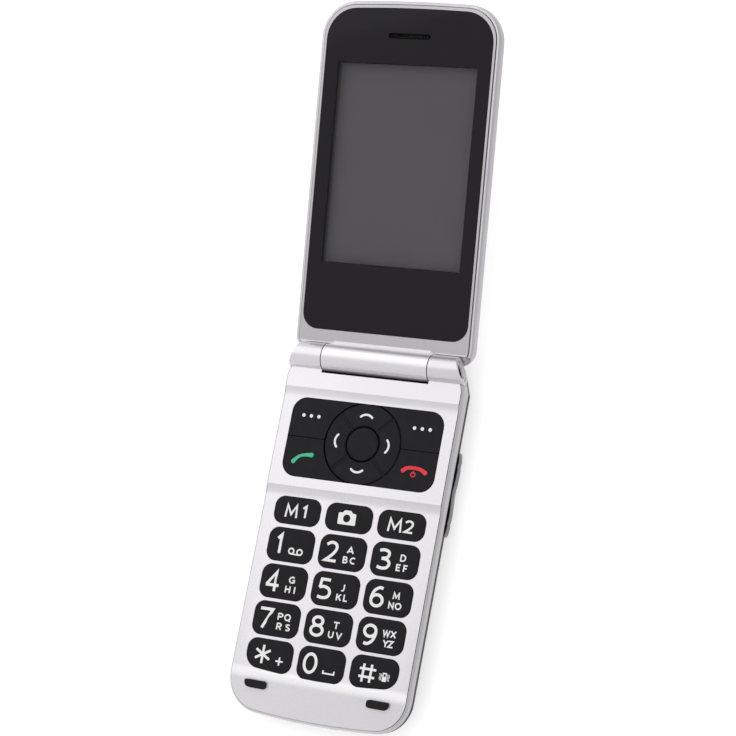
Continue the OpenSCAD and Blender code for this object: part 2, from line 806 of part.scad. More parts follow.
// Outer face: a waist in the middle, a finger mark towards each end, and rounded ends
rocker_face = [for (i = [-24:24])
    let (t = i / 24, y = t * rocker_l / 2)
    [rocker_out_x - rocker_waist * exp(-16 * t * t) - rocker_dip * exp(-500 * pow(abs(t) - 0.68, 2))
        - 0.5 * pow(abs(t), 10), y]];
switch_w = 2;
switch_l = 3.5;
switch_gap = 0.1;
switch_rim = 0.35;
button_r = 0.45;
button_l = 0.25;
module side_switches() {
    x = half_w - inner_inset - switch_gap;
    color(metal)
        for (y = [-1, 1])
            translate([0, rocker_y + y * switch_y, 0]) {
                block([x - button_l - switch_w, x - button_l], [-switch_l / 2, switch_l / 2],
                      [rocker_mid_z - button_r - switch_rim, board_z - seat]);
                translate([0, 0, rocker_mid_z])
                    rod(button_r, x - button_l - sliver, x);
            }
}

module battery_cover() {
    color(shell_black)
        difference() {
            translate([0, cover_y, 0])
                linear_extrude(cover_t)
                    round_rect(cover_w, cover_l, 3);
            // Finger notch at the chin end
            translate([0, cover_y - cover_l / 2 - 5, -9.4])
                sphere(10);
        }
}
module battery() {
    color(metal)
        layer(battery_z, battery_t)
            round_rect(battery_w, battery_l, 1.5);
}
connector_w = 8;
connector_l = 2.4;
connector_y = battery_l / 2 + 0.5;
connector_z = battery_z + 2;
module battery_connector() {
    color(shell_black)
        block([-connector_w / 2, connector_w / 2], [connector_y, connector_y + connector_l],
              [connector_z, board_z - seat]);
    color(gold)
        for (x = [-2.5, 0, 2.5])
            block([x - 0.4, x + 0.4], [battery_l / 2 + seat, connector_y],
                  [connector_z + 0.5, connector_z + 1.5]);
}

// Board, domes and mat ------------------------------------------------------------

board_end_y = rear_end_y - 0.3;
chip_h = 1.4;
chip_l = 9;
chips = [[-11, 11], [2, 9]];
chips_y = -bay_l / 2 - bay_wall - 1.5 - chip_l / 2;
module stack_plan(y0, y1) {
    intersection() {
        base_plan(inner_inset);
        translate([-far / 2, y0])
            square([far, y1 - y0]);
    }
}
module main_board() {
    color(board_green)
        difference() {
            layer(board_z, board_t)
                stack_plan(chin_y, board_end_y);
            at_screws()
                cylinder(r = screw_r + 0.2, h = far);
        }
    // Shielded chips under the board, between the battery bay and the chin
    color(metal)
        for (p = chips)
            translate([p[0], chips_y, board_z - chip_h])
                linear_extrude(chip_h + sliver)
                    square([p[1], chip_l], center = true);
}
ring_dome_r = (ring_r + ok_r) / 2;
side_key_x = (nav_w / 2 + ring_r) / 2;
nav_domes = concat([[0, 0]],
    [for (a = [0:90:270]) ring_dome_r * [cos(a), sin(a)]],
    [for (x = [-1, 1], y = [-1, 1]) [x * side_key_x, y * nav_l / 4]]);
module at_domes() {
    for (r = [0:last_row], c = [0:2])
        translate([(c - 1) * col_pitch, row_y(r)])
            children();
    for (p = nav_domes)
        translate([p[0], nav_y + p[1]])
            children();
}
sheet_y0 = keys_end_y - 1.2;
sheet_y1 = nav_y + nav_l / 2 + 1.2;
module dome_sheet() {
    color(metal) {
        difference() {
            layer(sheet_z, sheet_t)
                stack_plan(sheet_y0, sheet_y1);
            at_screws()
                cylinder(r = boss_r + 0.2, h = far);
        }
        at_domes()
            translate([0, 0, sheet_z + sheet_t - sliver])
                cylinder(r1 = dome_r, r2 = dome_r / 2, h = dome_h + sliver, $fn = 24);
    }
}
module key_mat() {
    color(rubber_black)
        difference() {
            layer(mat_z, mat_top_z - mat_z)
                stack_plan(sheet_y0, sheet_y1);
            at_screws()
                cylinder(r = boss_r + 0.2, h = far);
            at_domes()
                cylinder(r = dome_r + 0.2, h = far, $fn = 32);
        }
}

// Small parts of the base ------------------------------------------------------------

module loudspeaker() {
    color(metal)
        difference() {
            layer(floor_z + seat, speaker_h)
                translate([speaker_x, speaker_y])
                    round_rect(speaker_w, speaker_l, 2);
            layer(0, floor_z + seat + 0.6)
                translate([speaker_x, speaker_y])
                    round_rect(speaker_w - 2, speaker_l - 2, 1.4);
        }
}
motor_side = 10.35;
motor_from_chin = 14;
motor_xy = [half_w - motor_side, chin_y + motor_from_chin];
motor_r = 2;
motor_l = 7;
module vibration_motor() {
    color(metal)
        translate([motor_xy[0], motor_xy[1], floor_z + seat + motor_r]) {
            rod(motor_r, -motor_l / 2, motor_l / 2);
            rod(0.4, motor_l / 2 - sliver, motor_l / 2 + 0.4);
            intersection() {
                rod(motor_r, motor_l / 2 + 0.3, motor_l / 2 + 2.5);
                block([0, far], [-far, far], [-0.4, far]);
            }
        }
}
module microphone() {
    color(metal)
        translate([mic_x, mic_y, board_z - seat - 1.3])
            cylinder(r = 1.8, h = 1.3);
}
sim_l = 14;
sim_w = 17;
module sim_holder() {
    y0 = connector_y + connector_l + 0.5;
    color(metal)
        difference() {
            block([3, 3 + sim_w], [y0, y0 + sim_l], [board_z - seat - 1.4, board_z - seat]);
            block([3.4, 3 + sim_w - 0.4], [y0 - 1, y0 + sim_l - 0.4],
                  [board_z - seat - 1.1, board_z - seat - 0.3]);
        }
}
usb_l = 5.4;
usb_shell_w = 7.5;
usb_mouth_y = chin_y + 1;
module usb_socket() {
    color(metal)
        translate([0, usb_mouth_y, usb_z])
            rotate([-90, 0, 0]) {
                difference() {
                    linear_extrude(usb_l)
                        round_rect(usb_shell_w, usb_h, 0.8);
                    translate([0, 0, -sliver])
                        linear_extrude(usb_l - 0.4)
                            round_rect(usb_shell_w - 0.6, usb_h - 0.6, 0.5);
                }
                translate([0, 0, 0.8])
                    linear_extrude(usb_l - 1)
                        square([4, 0.6], center = true);
            }
}
contact_w = 2.2;
contact_h = 0.45;
contact_z = split_z + 0.2;
contact_foot_y = chin_y + inner_inset + 1.2;
module charge_contacts() {
    color(gold)
        for (x = [-1, 1])
            translate([x * contact_spacing / 2 - contact_w / 2, 0, 0]) {
                block([0, contact_w], [chin_y + 0.45, chin_y + frame_wall],
                      [contact_z, contact_z + contact_h]);
                block([0.3, contact_w - 0.3], [chin_y + frame_wall - sliver, contact_foot_y],
                      [contact_z, contact_z + 0.25]);
                block([0.3, contact_w - 0.3], [contact_foot_y - 0.3, contact_foot_y],
                      [board_top_z + seat, contact_z + 0.25]);
            }
}
// Aerial: a strip folded back twice
aerial_t = 0.3;
aerial_x = [6.85 - half_w, 9];
aerial_to_bay = 6.6;
aerial_strip_w = 2.6;
aerial_slit_w = 0.8;
aerial_turn_w = 3;
module aerial() {
    pitch = aerial_strip_w + aerial_slit_w;
    l = 2 * pitch + aerial_strip_w;
    y0 = -bay_l / 2 - bay_wall - aerial_to_bay - l;
    color(gold)
        difference() {
            block(aerial_x, [y0, y0 + l], [floor_z + seat, floor_z + seat + aerial_t]);
            for (i = [0, 1])
                block(aerial_x + (i == 0 ? 1 : -1) * [aerial_turn_w, aerial_turn_w],
                      [y0 + aerial_strip_w + i * pitch, y0 + (i + 1) * pitch], [0, far]);
        }
}
module case_screws() {
    color(metal)
        at_screws()
            difference() {
                translate([0, 0, screw_z]) {
                    cylinder(r = screw_head_r, h = screw_head_h - seat);
                    cylinder(r = screw_r, h = under_z + 0.2 - screw_z);
                }
                for (a = [0, 90])
                    rotate([0, 0, a])
                        translate([0, 0, screw_z])
                            cube([1.6, 0.35, 0.8], center = true);
            }
}
module lid_bumpers() {
    color(rubber_black)
        layer(bumper_z, bumper_top_z - bumper_z)
            bumper_plan();
}

// Keys -------------------------------------------------------------------------------

module number_key(r, c) {
    x = (c - 1) * col_pitch;
    color(key_black) {
        intersection() {
            layer(flange_z, far)
                key_plan(r, c);
            translate([x, row_y(r), key_top_z - key_crown_r])
                sphere(key_crown_r, $fn = 360);
        }
        layer(flange_z, flange_t)
            key_plan(r, c, flange_w);
        translate([x, row_y(r), plunger_z])
            cylinder(r = plunger_r, h = flange_z - plunger_z + sliver);
    }
}

nav_top_z = nav_area_z + nav_proud;
nav_plunger_h = flange_z - plunger_z + sliver;
// Half profile of a round key with rounded top edges, from radius r0 to r1
module round_key(r0, r1) {
    t = nav_round;
    rotate_extrude()
        polygon(concat([[r0, flange_z], [r1, flange_z]],
            arc_pts([r1 - t, nav_top_z - t], t, 0, 90, 4),
            r0 > 0 ? arc_pts([r0 + t, nav_top_z - t], t, 90, 180, 4) : [[0, nav_top_z]]));
}
module nav_plunger(x, y) {
    translate([x, nav_y + y, plunger_z])
        cylinder(r = plunger_r, h = nav_plunger_h);
}
module ok_key() {
    color(key_black) {
        translate([0, nav_y])
            round_key(0, ok_r);
        nav_plunger(0, 0);
    }
}
module nav_ring() {
    color(key_black)
        difference() {
            union() {
                intersection() {
                    translate([0, nav_y])
                        round_key(ok_r + nav_gap, ring_r);
                    linear_extrude(far)
                        nav_plan(-0.05);
                }
                for (i = [1:4])
                    nav_plunger(nav_domes[i][0], nav_domes[i][1]);
            }
            for (a = [45:90:315])
                translate([0, nav_y, nav_top_z + ring_hollow_r / 2])
                    rotate([0, 0, a])
                        rod(ring_hollow_r, ok_r, ring_r + 1);
        }
}
// Corner keys of the panel: sx and sy give the corner
soft_tip = 0.2;
soft_reach = sqrt(pow(ring_r + nav_gap, 2) - pow(nav_l / 2 - soft_tip, 2));
module corner_key(sx, sy) {
    color(key_black) {
        layer(flange_z, nav_top_z - flange_z)
            difference() {
                intersection() {
                    nav_plan();
                    translate([sx * (soft_reach + far / 2), nav_y + sy * (nav_gap / 2 + far / 2)])
                        square(far, center = true);
                }
                translate([0, nav_y])
                    circle(ring_r + nav_gap, $fn = 96);
            }
        nav_plunger(sx * side_key_x, sy * nav_l / 4);
    }
}

// Lid ------------------------------------------------------------------------------------

// Heights in the lid's own frame
lid_face_z = -lid_face_drop;
lid_back_z = lid_face_z - lid_t;
frame_inset = lid_rim + lid_groove;
frame_under_z = lid_face_z - lid_frame_t;
window_z = lid_face_z - window_sink - window_t;
mask_t = 0.1;
mask_z = window_z - mask_t - 0.02;
screen_z = mask_z - view_depth;
lid_board_t = 0.6;
lid_board_z = lid_back_z + lid_wall + seat;
lid_board_top_z = lid_board_z + lid_board_t;
view_y = view_start + view_l / 2;
display_w = view_w + 2 * display_frame;
display_l = view_l + 3 * display_frame;
display_y = view_y;
ear_y = lid_l - ear_to_tip;

// Outer shell: ends of its straight side as shares of the lid's thickness, and the levels round
// it, each with its depth as a share of the thickness and its inset as a share of the flat's
lid_side = [0.16, 0.44];
lid_levels = [[0.046, 0.112], [0.09, 0.032], [0.61, 0.088], [0.806, 0.3], [0.944, 0.65], [1, 1]];
shelf_w = 0.9;
pad_end = 4.55;
pad_rise = 0.5;
module lid_hull() {
    hull() {
        layer(lid_face_z - lid_side[1] * lid_t, (lid_side[1] - lid_side[0]) * lid_t)
            lid_plan();
        for (e = lid_levels)
            layer(lid_face_z - e[0] * lid_t)
                lid_plan(e[1] * back_inset);
    }
}
module lid_shell() {
    color(silver)
        in_lid()
            difference() {
                lid_hull();
                layer(frame_under_z - seat, far)
                    lid_plan(lid_rim);
                layer(lid_board_z + lid_board_t, far)
                    lid_plan(lid_rim + lid_groove + shelf_w);
                layer(lid_back_z + lid_wall, far)
                    lid_plan(back_inset + 0.2);
                rod(clear_r, -far / 2, -barrel_l / 2 - knuckle_gap / 2);
                rod(clear_r, barrel_l / 2 + knuckle_gap / 2, far / 2);
                rod(seat_r, -far / 2, far / 2);
                // Camera opening: the lens' seat and the hole behind it
                translate([0, camera_y, lid_back_z - 1])
                    cylinder(r = lens_r + seat, h = lens_t + seat + 1);
                translate([0, camera_y, lid_back_z - 1])
                    cylinder(r = lens_r - 0.5, h = lid_wall + 2);
            }
}
module lid_frame() {
    color(silver)
        in_lid()
            difference() {
                union() {
                    difference() {
                        layer(frame_under_z, lid_frame_t)
                            lid_plan(frame_inset);
                        rod(clear_r, -far / 2, -barrel_l / 2);
                        rod(clear_r, barrel_l / 2, far / 2);
                    }
                    rod(barrel_r, -barrel_l / 2, barrel_l / 2);
                    block([0.4 - barrel_l / 2, barrel_l / 2 - 0.4], [lid_end, pad_end],
                          [frame_under_z, lid_face_z + pad_rise]);
                }
                rod(bore_r, -far / 2, far / 2);
                layer(mask_z - 0.02, far)
                    window_plan(-0.05);
                layer(-far / 2, far)
                    window_plan(1.2);
            }
}
module view_cut(grow = 0) {
    translate([0, view_y])
        square([view_w + 2 * grow, view_l + 2 * grow], center = true);
}
module window() {
    color(glass_black)
        in_lid()
            difference() {
                layer(window_z, window_t)
                    window_plan();
                layer(-far / 2, far)
                    translate([0, ear_y])
                        slot_plan(ear_l, ear_w);
            }
}
module window_mask() {
    color(shell_black)
        in_lid()
            layer(mask_z, mask_t)
                difference() {
                    window_plan(0.1);
                    view_cut();
                    translate([0, ear_y])
                        slot_plan(ear_l - 1, ear_w - 0.4);
                }
}
module display() {
    color(screen_grey)
        in_lid()
            layer(lid_board_top_z + seat, screen_z - lid_board_top_z - seat)
                translate([0, display_y])
                    square([display_w, display_l], center = true);
}
lid_board_y0 = display_y - display_l / 2 - 1.5;
module lid_board() {
    color(board_green)
        in_lid()
            layer(lid_board_z, lid_board_t)
                intersection() {
                    lid_plan(back_inset + 0.4);
                    translate([-far / 2, lid_board_y0])
                        square([far, ear_y + 3.5 - lid_board_y0]);
                }
}
earpiece_l = 5;
module earpiece() {
    color(metal)
        in_lid()
            difference() {
                union() {
                    layer(lid_board_top_z + seat, 2.6)
                        translate([0, ear_y])
                            round_rect(ear_l + 2, earpiece_l, 1.5);
                    layer(lid_board_top_z + seat, mask_z - lid_board_top_z - 2 * seat)
                        translate([0, ear_y])
                            round_rect(ear_l + 1, ear_w + 1.4, 1);
                }
                layer(lid_board_top_z + 1.6, far)
                    translate([0, ear_y])
                        round_rect(ear_l - 0.6, ear_w + 0.2, 0.6);
            }
}
mesh_holes = 14;
module earpiece_mesh() {
    color(metal)
        in_lid()
            layer(window_z, 0.35)
                difference() {
                    translate([0, ear_y])
                        slot_plan(ear_l - 2 * seat, ear_w - 2 * seat);
                    for (i = [0:mesh_holes - 1])
                        translate([(i - (mesh_holes - 1) / 2) * (ear_l - 1.8) / mesh_holes, ear_y])
                            circle(0.28, $fn = 16);
                }
}
camera_y = (pad_end + lid_board_y0) / 2;
camera_w = 8;
lens_r = 3;
lens_t = 0.5;
module camera_module() {
    color(shell_black)
        in_lid()
            translate([0, camera_y, 0]) {
                layer(lid_board_z, 3.2)
                    square(camera_w, center = true);
                translate([0, 0, lid_back_z + lens_t + 0.1])
                    difference() {
                        cylinder(r = lens_r - 0.6, h = lid_board_z - lid_back_z - lens_t);
                        translate([0, 0, -sliver])
                            cylinder(r = lens_r - 1.4, h = 0.4);
                    }
            }
}
module camera_lens() {
    color(glass_black)
        in_lid()
            translate([0, camera_y, lid_back_z])
                cylinder(r = lens_r, h = lens_t);
}
module lid_magnet() {
    color(metal)
        in_lid()
            layer(lid_board_top_z + seat, 1.5)
                translate([view_w / 2 - 4, ear_y])
                    square([5, 3], center = true);
}

// Hinge: a can with its cam and spring in the barrel's right half, a nose in the right
// knuckle, and a bush for the flexible circuit on the left
can_wall = 0.4;
can_x0 = 1;
can_x1 = barrel_l / 2 - 0.2;
shaft_r = 1.1;
follower_l = 3;
follower_x = can_x1 - 0.5 - follower_l;
nose_x = can_x1 + 0.35;
nose_l = 4;
module hinge_can() {
    color(metal)
        in_lid()
            difference() {
                rod(bore_r - hinge_fit, can_x0, can_x1);
                rod(bore_r - hinge_fit - can_wall, can_x0 + 0.8, far);
                rod(shaft_r + 0.1, 0, far);
            }
}
module hinge_follower() {
    color(metal)
        in_lid()
            difference() {
                union() {
                    rod(bore_r - hinge_fit - can_wall - 0.05, follower_x, follower_x + follower_l);
                    translate([follower_x + follower_l, 0, 0])
                        intersection() {
                            rod(bore_r - hinge_fit - can_wall - 0.05, -1, 1);
                            translate([-0.2, 0, -bore_r])
                                cylinder(r = 0.6, h = 2 * bore_r, $fn = 24);
                        }
                }
                rod(shaft_r + 0.1, 0, far);
            }
}
module hinge_nose() {
    color(metal)
        at_hinge()
            difference() {
                union() {
                    rod(bore_r - hinge_fit, nose_x, nose_x + nose_l);
                    rod(shaft_r, can_x0 - 0.9, nose_x + sliver);
                    rod(shaft_r + 0.6, can_x0 - 0.9, can_x0 - 0.3);
                }
                difference() {
                    translate([nose_x - 0.1, 0, 0])
                        rotate([180 - lid_open_angle, 0, 0])
                            translate([0, 0, -bore_r])
                                cylinder(r = 0.7, h = 2 * bore_r, $fn = 24);
                    rod(shaft_r, can_x0, nose_x + 1);
                }
            }
}
module hinge_bush() {
    color(metal)
        at_hinge()
            difference() {
                rod(bore_r - hinge_fit, -knuckle_x - 4, -knuckle_x + 3);
                rod(bore_r - 0.9, -far, 0);
            }
}

// Spring: a wire swept along its coils
wire_r = 0.32;
coil_r = bore_r - hinge_fit - can_wall - 0.08 - wire_r;
coil_turns = 7;
coil_rings = 84;
wire_sides = 6;
spring_x0 = can_x0 + 0.8 + wire_r + 0.05;
spring_x1 = follower_x - wire_r - 0.05;
function wire_pt(i, j) =
    let (a = 360 * coil_turns * i / coil_rings, b = 360 * j / wire_sides,
         r = coil_r + wire_r * cos(b))
    [spring_x0 + (spring_x1 - spring_x0) * i / coil_rings + wire_r * sin(b), r * cos(a), r * sin(a)];
module hinge_spring() {
    n = wire_sides;
    color(metal)
        in_lid()
            polyhedron(
                points = [for (i = [0:coil_rings], j = [0:n - 1]) wire_pt(i, j)],
                faces = concat(
                    [[for (j = [0:n - 1]) j]],
                    [[for (j = [n - 1:-1:0]) coil_rings * n + j]],
                    [for (i = [0:coil_rings - 1], j = [0:n - 1])
                        [i * n + j, (i + 1) * n + j, (i + 1) * n + (j + 1) % n, i * n + (j + 1) % n]]));
}

// Flexible circuit rolled up in the barrel and led into the bush
flex_t = 0.15;
flex_x0 = -knuckle_x - 3;
flex_x1 = can_x0 - 2.5;
flex_turns = 1.75;
flex_steps = 36;
flex_in_r = 0.95;
flex_out_r = bore_r - 1.05 - flex_t;
function flex_pt(i, grow) =
    let (t = i / flex_steps, r = flex_in_r + (flex_out_r - flex_in_r) * t + grow)
    r * [cos(360 * flex_turns * t), sin(360 * flex_turns * t)];
module hinge_flex() {
    color(gold)
        in_lid()
            translate([flex_x0, 0, 0])
                rotate([90, 0, 90])
                    linear_extrude(flex_x1 - flex_x0)
                        polygon(concat([for (i = [0:flex_steps]) flex_pt(i, 0)],
                                       [for (i = [flex_steps:-1:0]) flex_pt(i, flex_t)]));
}

front_plate();
side_frame();
rear_shell();
battery_cover();
battery();
battery_connector();
main_board();
dome_sheet();
key_mat();
loudspeaker();
vibration_motor();
microphone();
sim_holder();
usb_socket();
charge_contacts();
aerial();
side_switches();
case_screws();
lid_bumpers();
hinge_nose();
hinge_bush();
hinge_end_caps();
lid_frame();
lid_shell();
window();
window_mask();
display();
lid_board();
earpiece();
earpiece_mesh();
camera_module();
camera_lens();
lid_magnet();
hinge_can();
hinge_follower();
hinge_spring();
hinge_flex();
number_key(0, 0);  // key_m1
number_key(0, 1);  // key_camera
number_key(0, 2);  // key_m2
number_key(1, 0);  // key_1
number_key(1, 1);  // key_2
number_key(1, 2);  // key_3
number_key(2, 0);  // key_4
number_key(2, 1);  // key_5
number_key(2, 2);  // key_6
number_key(3, 0);  // key_7
number_key(3, 1);  // key_8
number_key(3, 2);  // key_9
number_key(4, 0);  // key_star
number_key(4, 1);  // key_0
number_key(4, 2);  // key_hash
corner_key(-1, 1);  // soft_key_left
corner_key(1, 1);  // soft_key_right
corner_key(-1, -1);  // call_key
corner_key(1, -1);  // end_key
nav_ring();
ok_key();
volume_rocker();
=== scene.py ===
"""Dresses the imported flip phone: materials, soft edges, key legends, floor, light and camera."""

import json
import math

import bpy
from mathutils import Matrix, Vector

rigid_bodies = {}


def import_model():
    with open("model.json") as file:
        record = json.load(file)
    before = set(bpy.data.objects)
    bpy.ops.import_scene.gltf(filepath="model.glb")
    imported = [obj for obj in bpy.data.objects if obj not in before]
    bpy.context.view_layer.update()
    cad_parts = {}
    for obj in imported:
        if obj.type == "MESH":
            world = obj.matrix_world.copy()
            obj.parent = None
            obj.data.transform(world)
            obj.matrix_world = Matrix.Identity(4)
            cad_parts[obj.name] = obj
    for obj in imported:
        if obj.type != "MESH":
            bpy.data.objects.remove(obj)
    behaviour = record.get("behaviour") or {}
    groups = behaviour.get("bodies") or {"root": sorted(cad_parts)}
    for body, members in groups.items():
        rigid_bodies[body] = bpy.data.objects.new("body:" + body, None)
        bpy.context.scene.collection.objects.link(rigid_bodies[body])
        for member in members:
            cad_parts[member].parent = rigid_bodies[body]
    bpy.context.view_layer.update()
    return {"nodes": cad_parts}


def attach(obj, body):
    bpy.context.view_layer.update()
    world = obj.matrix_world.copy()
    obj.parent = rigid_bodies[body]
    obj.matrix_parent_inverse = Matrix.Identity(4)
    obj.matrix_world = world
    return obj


MM = 0.001

for leftover in list(bpy.data.objects):
    bpy.data.objects.remove(leftover)

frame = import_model()
nodes = frame["nodes"]

# Places shared with the CAD source, in millimetres
KEY_TOP = 10.6
KEY_CROWN = 140.0
NAV_TOP = 10.95
PITCH = 16.27
ROW_Y = (5.7, -4.25, -14.92, -25.59, -36.11)
CREASE_Y = -41.4
CHIN_LIP_Y = -46
KNUCKLE_Y = 46
HINGE_Y = 51.2
HINGE_Z = 10.33
# The end caps' faces slant, and the floor of their dishes lies this far out across the slant
SLANT = math.radians(20.35)
DISH_FLOOR = 40.95
# On the lid, measured from the hinge axis towards its tip
LID_TILT = math.radians(14)
BARREL_CREST = 2.6
PAD_END = 4.5
PAD_HALF_W = 15
DISPLAY_MIDDLE = 56.5
DISPLAY_L = 57.6
DISPLAY_W = 43.2


# Materials -------------------------------------------------------------------

class Tree:
    """Short names for the steps that build a node tree."""

    def __init__(self, tree):
        self.tree = tree
        tree.nodes.clear()

    def node(self, kind, **values):
        n = self.tree.nodes.new(kind)
        for key, value in values.items():
            if key in n.inputs:
                n.inputs[key].default_value = value
            else:
                setattr(n, key, value)
        return n

    def link(self, output, socket):
        self.tree.links.new(output, socket)

    def put(self, value, socket):
        """Feeds a socket with a number, a colour or another node's output."""
        if isinstance(value, tuple):
            socket.default_value = (*value, 1)
        elif isinstance(value, (int, float)):
            socket.default_value = value
        else:
            self.link(value, socket)

    def span(self, value, low, high, to_low, to_high):
        """Maps low..high onto to_low..to_high, and holds the ends beyond them."""
        n = self.node("ShaderNodeMapRange", clamp=True)
        for v, socket in zip((value, low, high, to_low, to_high), n.inputs):
            self.put(v, socket)
        return n.outputs[0]

    def math(self, operation, *values):
        n = self.node("ShaderNodeMath", operation=operation)
        for v, socket in zip(values, n.inputs):
            self.put(v, socket)
        return n.outputs[0]

    def times(self, a, b):
        return self.math("MULTIPLY", a, b)

    def mix(self, factor, a, b):
        """Colour a where the factor is 0, and b where it is 1."""
        n = self.node("ShaderNodeMix", data_type="RGBA")
        for v, i in zip((factor, a, b), (0, 6, 7)):
            self.put(v, n.inputs[i])
        return n.outputs[2]

    def pick(self, factor, a, b):
        """Shader a where the factor is 0, and b where it is 1."""
        n = self.node("ShaderNodeMixShader")
        for output, socket in zip((factor, a, b), n.inputs):
            self.link(output, socket)
        return n.outputs[0]

    def axis(self, vector, name):
        """One coordinate of a vector."""
        n = self.node("ShaderNodeSeparateXYZ")
        self.link(vector, n.inputs[0])
        return n.outputs[name]

    def any_ray(self, *kinds):
        """1 for a ray of any of the kinds."""
        path = self.node("ShaderNodeLightPath")
        total = path.outputs[kinds[0]]
        for kind in kinds[1:]:
            total = self.math("MAXIMUM", total, path.outputs[kind])
        return total


class Paint(Tree):
    """A Principled material, and the patterns that vary it."""

    def __init__(self, name, color, rough, metal=0.0, **sockets):
        self.mat = bpy.data.materials.new(name)
        self.mat.use_nodes = True
        self.mat.diffuse_color = (*color, 1)
        super().__init__(self.mat.node_tree)
        self.out = self.node("ShaderNodeOutputMaterial")
        self.bsdf = self.node("ShaderNodeBsdfPrincipled")
        self.link(self.bsdf.outputs[0], self.out.inputs["Surface"])
        self.coords = self.node("ShaderNodeTexCoord").outputs["Object"]
        self.give(Base_Color=color, Roughness=rough, Metallic=metal, **sockets)

    def give(self, **sockets):
        """Sets the surface's inputs, named with _ for a space, to values or patterns."""
        for key, value in sockets.items():
            self.put(value, self.bsdf.inputs[key.replace("_", " ")])
        return self

    def coord(self, name):
        return self.axis(self.coords, name)

    def facing(self, name):
        """How far the surface faces along an axis, from -1 to 1."""
        return self.axis(self.node("ShaderNodeTexCoord").outputs["Normal"], name)

    def noise(self, size_mm, detail=2.0):
        n = self.node("ShaderNodeTexNoise", Scale=1 / (size_mm * MM), Detail=detail)
        self.link(self.coords, n.inputs["Vector"])
        return n.outputs["Fac"]

    def bump(self, height, depth_mm, strength=1.0):
        n = self.node("ShaderNodeBump", Strength=strength, Distance=depth_mm * MM)
        self.link(height, n.inputs["Height"])
        return self.give(Normal=n.outputs[0])


def band(p, value, middle, half, soft):
    """1 within half of the middle, falling to 0 over soft, all in mm."""
    away = p.math("ABSOLUTE", p.math("SUBTRACT", value, middle * MM))
    return p.span(away, half * MM, (half + soft) * MM, 1, 0)


def lid_reach(p):
    """How far a point is from the hinge axis towards the lid's tip."""
    origin = p.node("ShaderNodeVectorMath", operation="SUBTRACT")
    origin.inputs[1].default_value = (0, HINGE_Y * MM, HINGE_Z * MM)
    along = p.node("ShaderNodeVectorMath", operation="DOT_PRODUCT")
    along.inputs[1].default_value = (0, math.cos(LID_TILT), math.sin(LID_TILT))
    p.link(p.coords, origin.inputs[0])
    p.link(origin.outputs[0], along.inputs[0])
    return along.outputs["Value"]


def over_display(p, margin):
    """1 over the display's lit area and a margin in mm round it, and 0 beyond."""
    soft = 0.1
    grow = margin - soft / 2
    in_x = band(p, p.coord("X"), 0, DISPLAY_W / 2 + grow, soft)
    in_reach = band(p, lid_reach(p), DISPLAY_MIDDLE, DISPLAY_L / 2 + grow, soft)
    return p.times(in_x, in_reach)


def grained(name, dark, light, grain_mm, rough, depth_mm, metal=0.0, finish=None, **sockets):
    """Colour, roughness and height all vary with one fine grain and a slow drift."""
    p = Paint(name, light, rough[0], metal, **sockets)
    grain = p.noise(grain_mm)
    drift = p.noise(grain_mm * 40, 3)
    tone = p.span(p.math("ADD", grain, drift), 0.7, 1.3, 0, 1)
    color = p.mix(tone, dark, light)
    p.give(Base_Color=finish(p, color, tone) if finish else color,
           Roughness=p.span(grain, 0.3, 0.7, *rough))
    return p.bump(grain, depth_mm).mat


def silver_paint(name, dark, light, finish=None):
    """Metallic lacquer: fine flakes in the colour and the gloss under a thin clear coat."""
    p = Paint(name, light, 0.3, 0.72, Coat_Weight=0.2, Coat_Roughness=0.2)
    flakes = p.noise(0.11, 1.0)
    drift = p.noise(18)
    tone = p.span(p.math("ADD", p.times(flakes, 0.8), p.times(drift, 0.2)), 0.35, 0.65, 0, 1)
    color = p.mix(tone, dark, light)
    p.give(Base_Color=finish(p, color, tone) if finish else color,
           Roughness=p.span(flakes, 0.3, 0.7, 0.27, 0.34))
    return p.bump(flakes, 0.004, 0.35).mat


# Silver lacquers, each from its darkest to its lightest, with darker copies and single colours that
# paint shade and highlight
PEARL = (0.765, 0.738, 0.78), (0.825, 0.798, 0.84)
# The pearl darkened, as painted shade on the plate's right side
PEARL_SHADED_RIGHT = (0.725, 0.698, 0.738), (0.782, 0.755, 0.795)
# A darker copy of the lacquer, as painted shade on the lid's face
LID_FACE_SHADED = (0.535, 0.512, 0.53), (0.58, 0.556, 0.576)
# A darker copy of the pearl, as painted shade on the side frame and shells
GREY_SHADED = (0.66, 0.635, 0.672), (0.72, 0.695, 0.732)
# Painted highlight, laid along creases and edges
PAINTED_HIGHLIGHT = (0.97, 0.965, 0.975)
# Painted shade, for the plate's walls and the chin's lip
PAINTED_SHADE = (0.06, 0.055, 0.062)
# Painted shade in the dishes of the hinge's end caps
DISH_SHADE = (0.02, 0.02, 0.022)
# Painted shade round the volume rocker's outer face
ROCKER_SHADE = (0.01, 0.01, 0.011)


def plate_finish(p, color, tone):
    """Painted light: shade darker towards the right, a painted highlight along the crease above the
    chin, and painted shade down walls and on the lip.
    """
    x, y = p.coord("X"), p.coord("Y")
    # Painted shade: darker towards the right
    color = p.mix(p.span(x, -20 * MM, 25 * MM, 0, 1), color, p.mix(tone, *PEARL_SHADED_RIGHT))
    # Painted highlight: a bright band along the crease above the chin
    color = p.mix(p.times(band(p, y, CREASE_Y, 0.7, 1.3), 0.95), color, PAINTED_HIGHLIGHT)
    # Painted shade on the chin's lip and down the plate's walls
    lip = p.times(p.span(p.facing("Y"), -0.34, -0.14, 0.6, 0),
                  p.span(y, CHIN_LIP_Y * MM, (CHIN_LIP_Y + 1) * MM, 1, 0))
    wall = p.times(p.span(p.facing("Z"), 0.5, 0.96, 0.8, 0),
                   p.span(y, KNUCKLE_Y * MM, (KNUCKLE_Y + 0.4) * MM, 1, 0))
    return p.mix(p.math("MAXIMUM", wall, lip), color, PAINTED_SHADE)


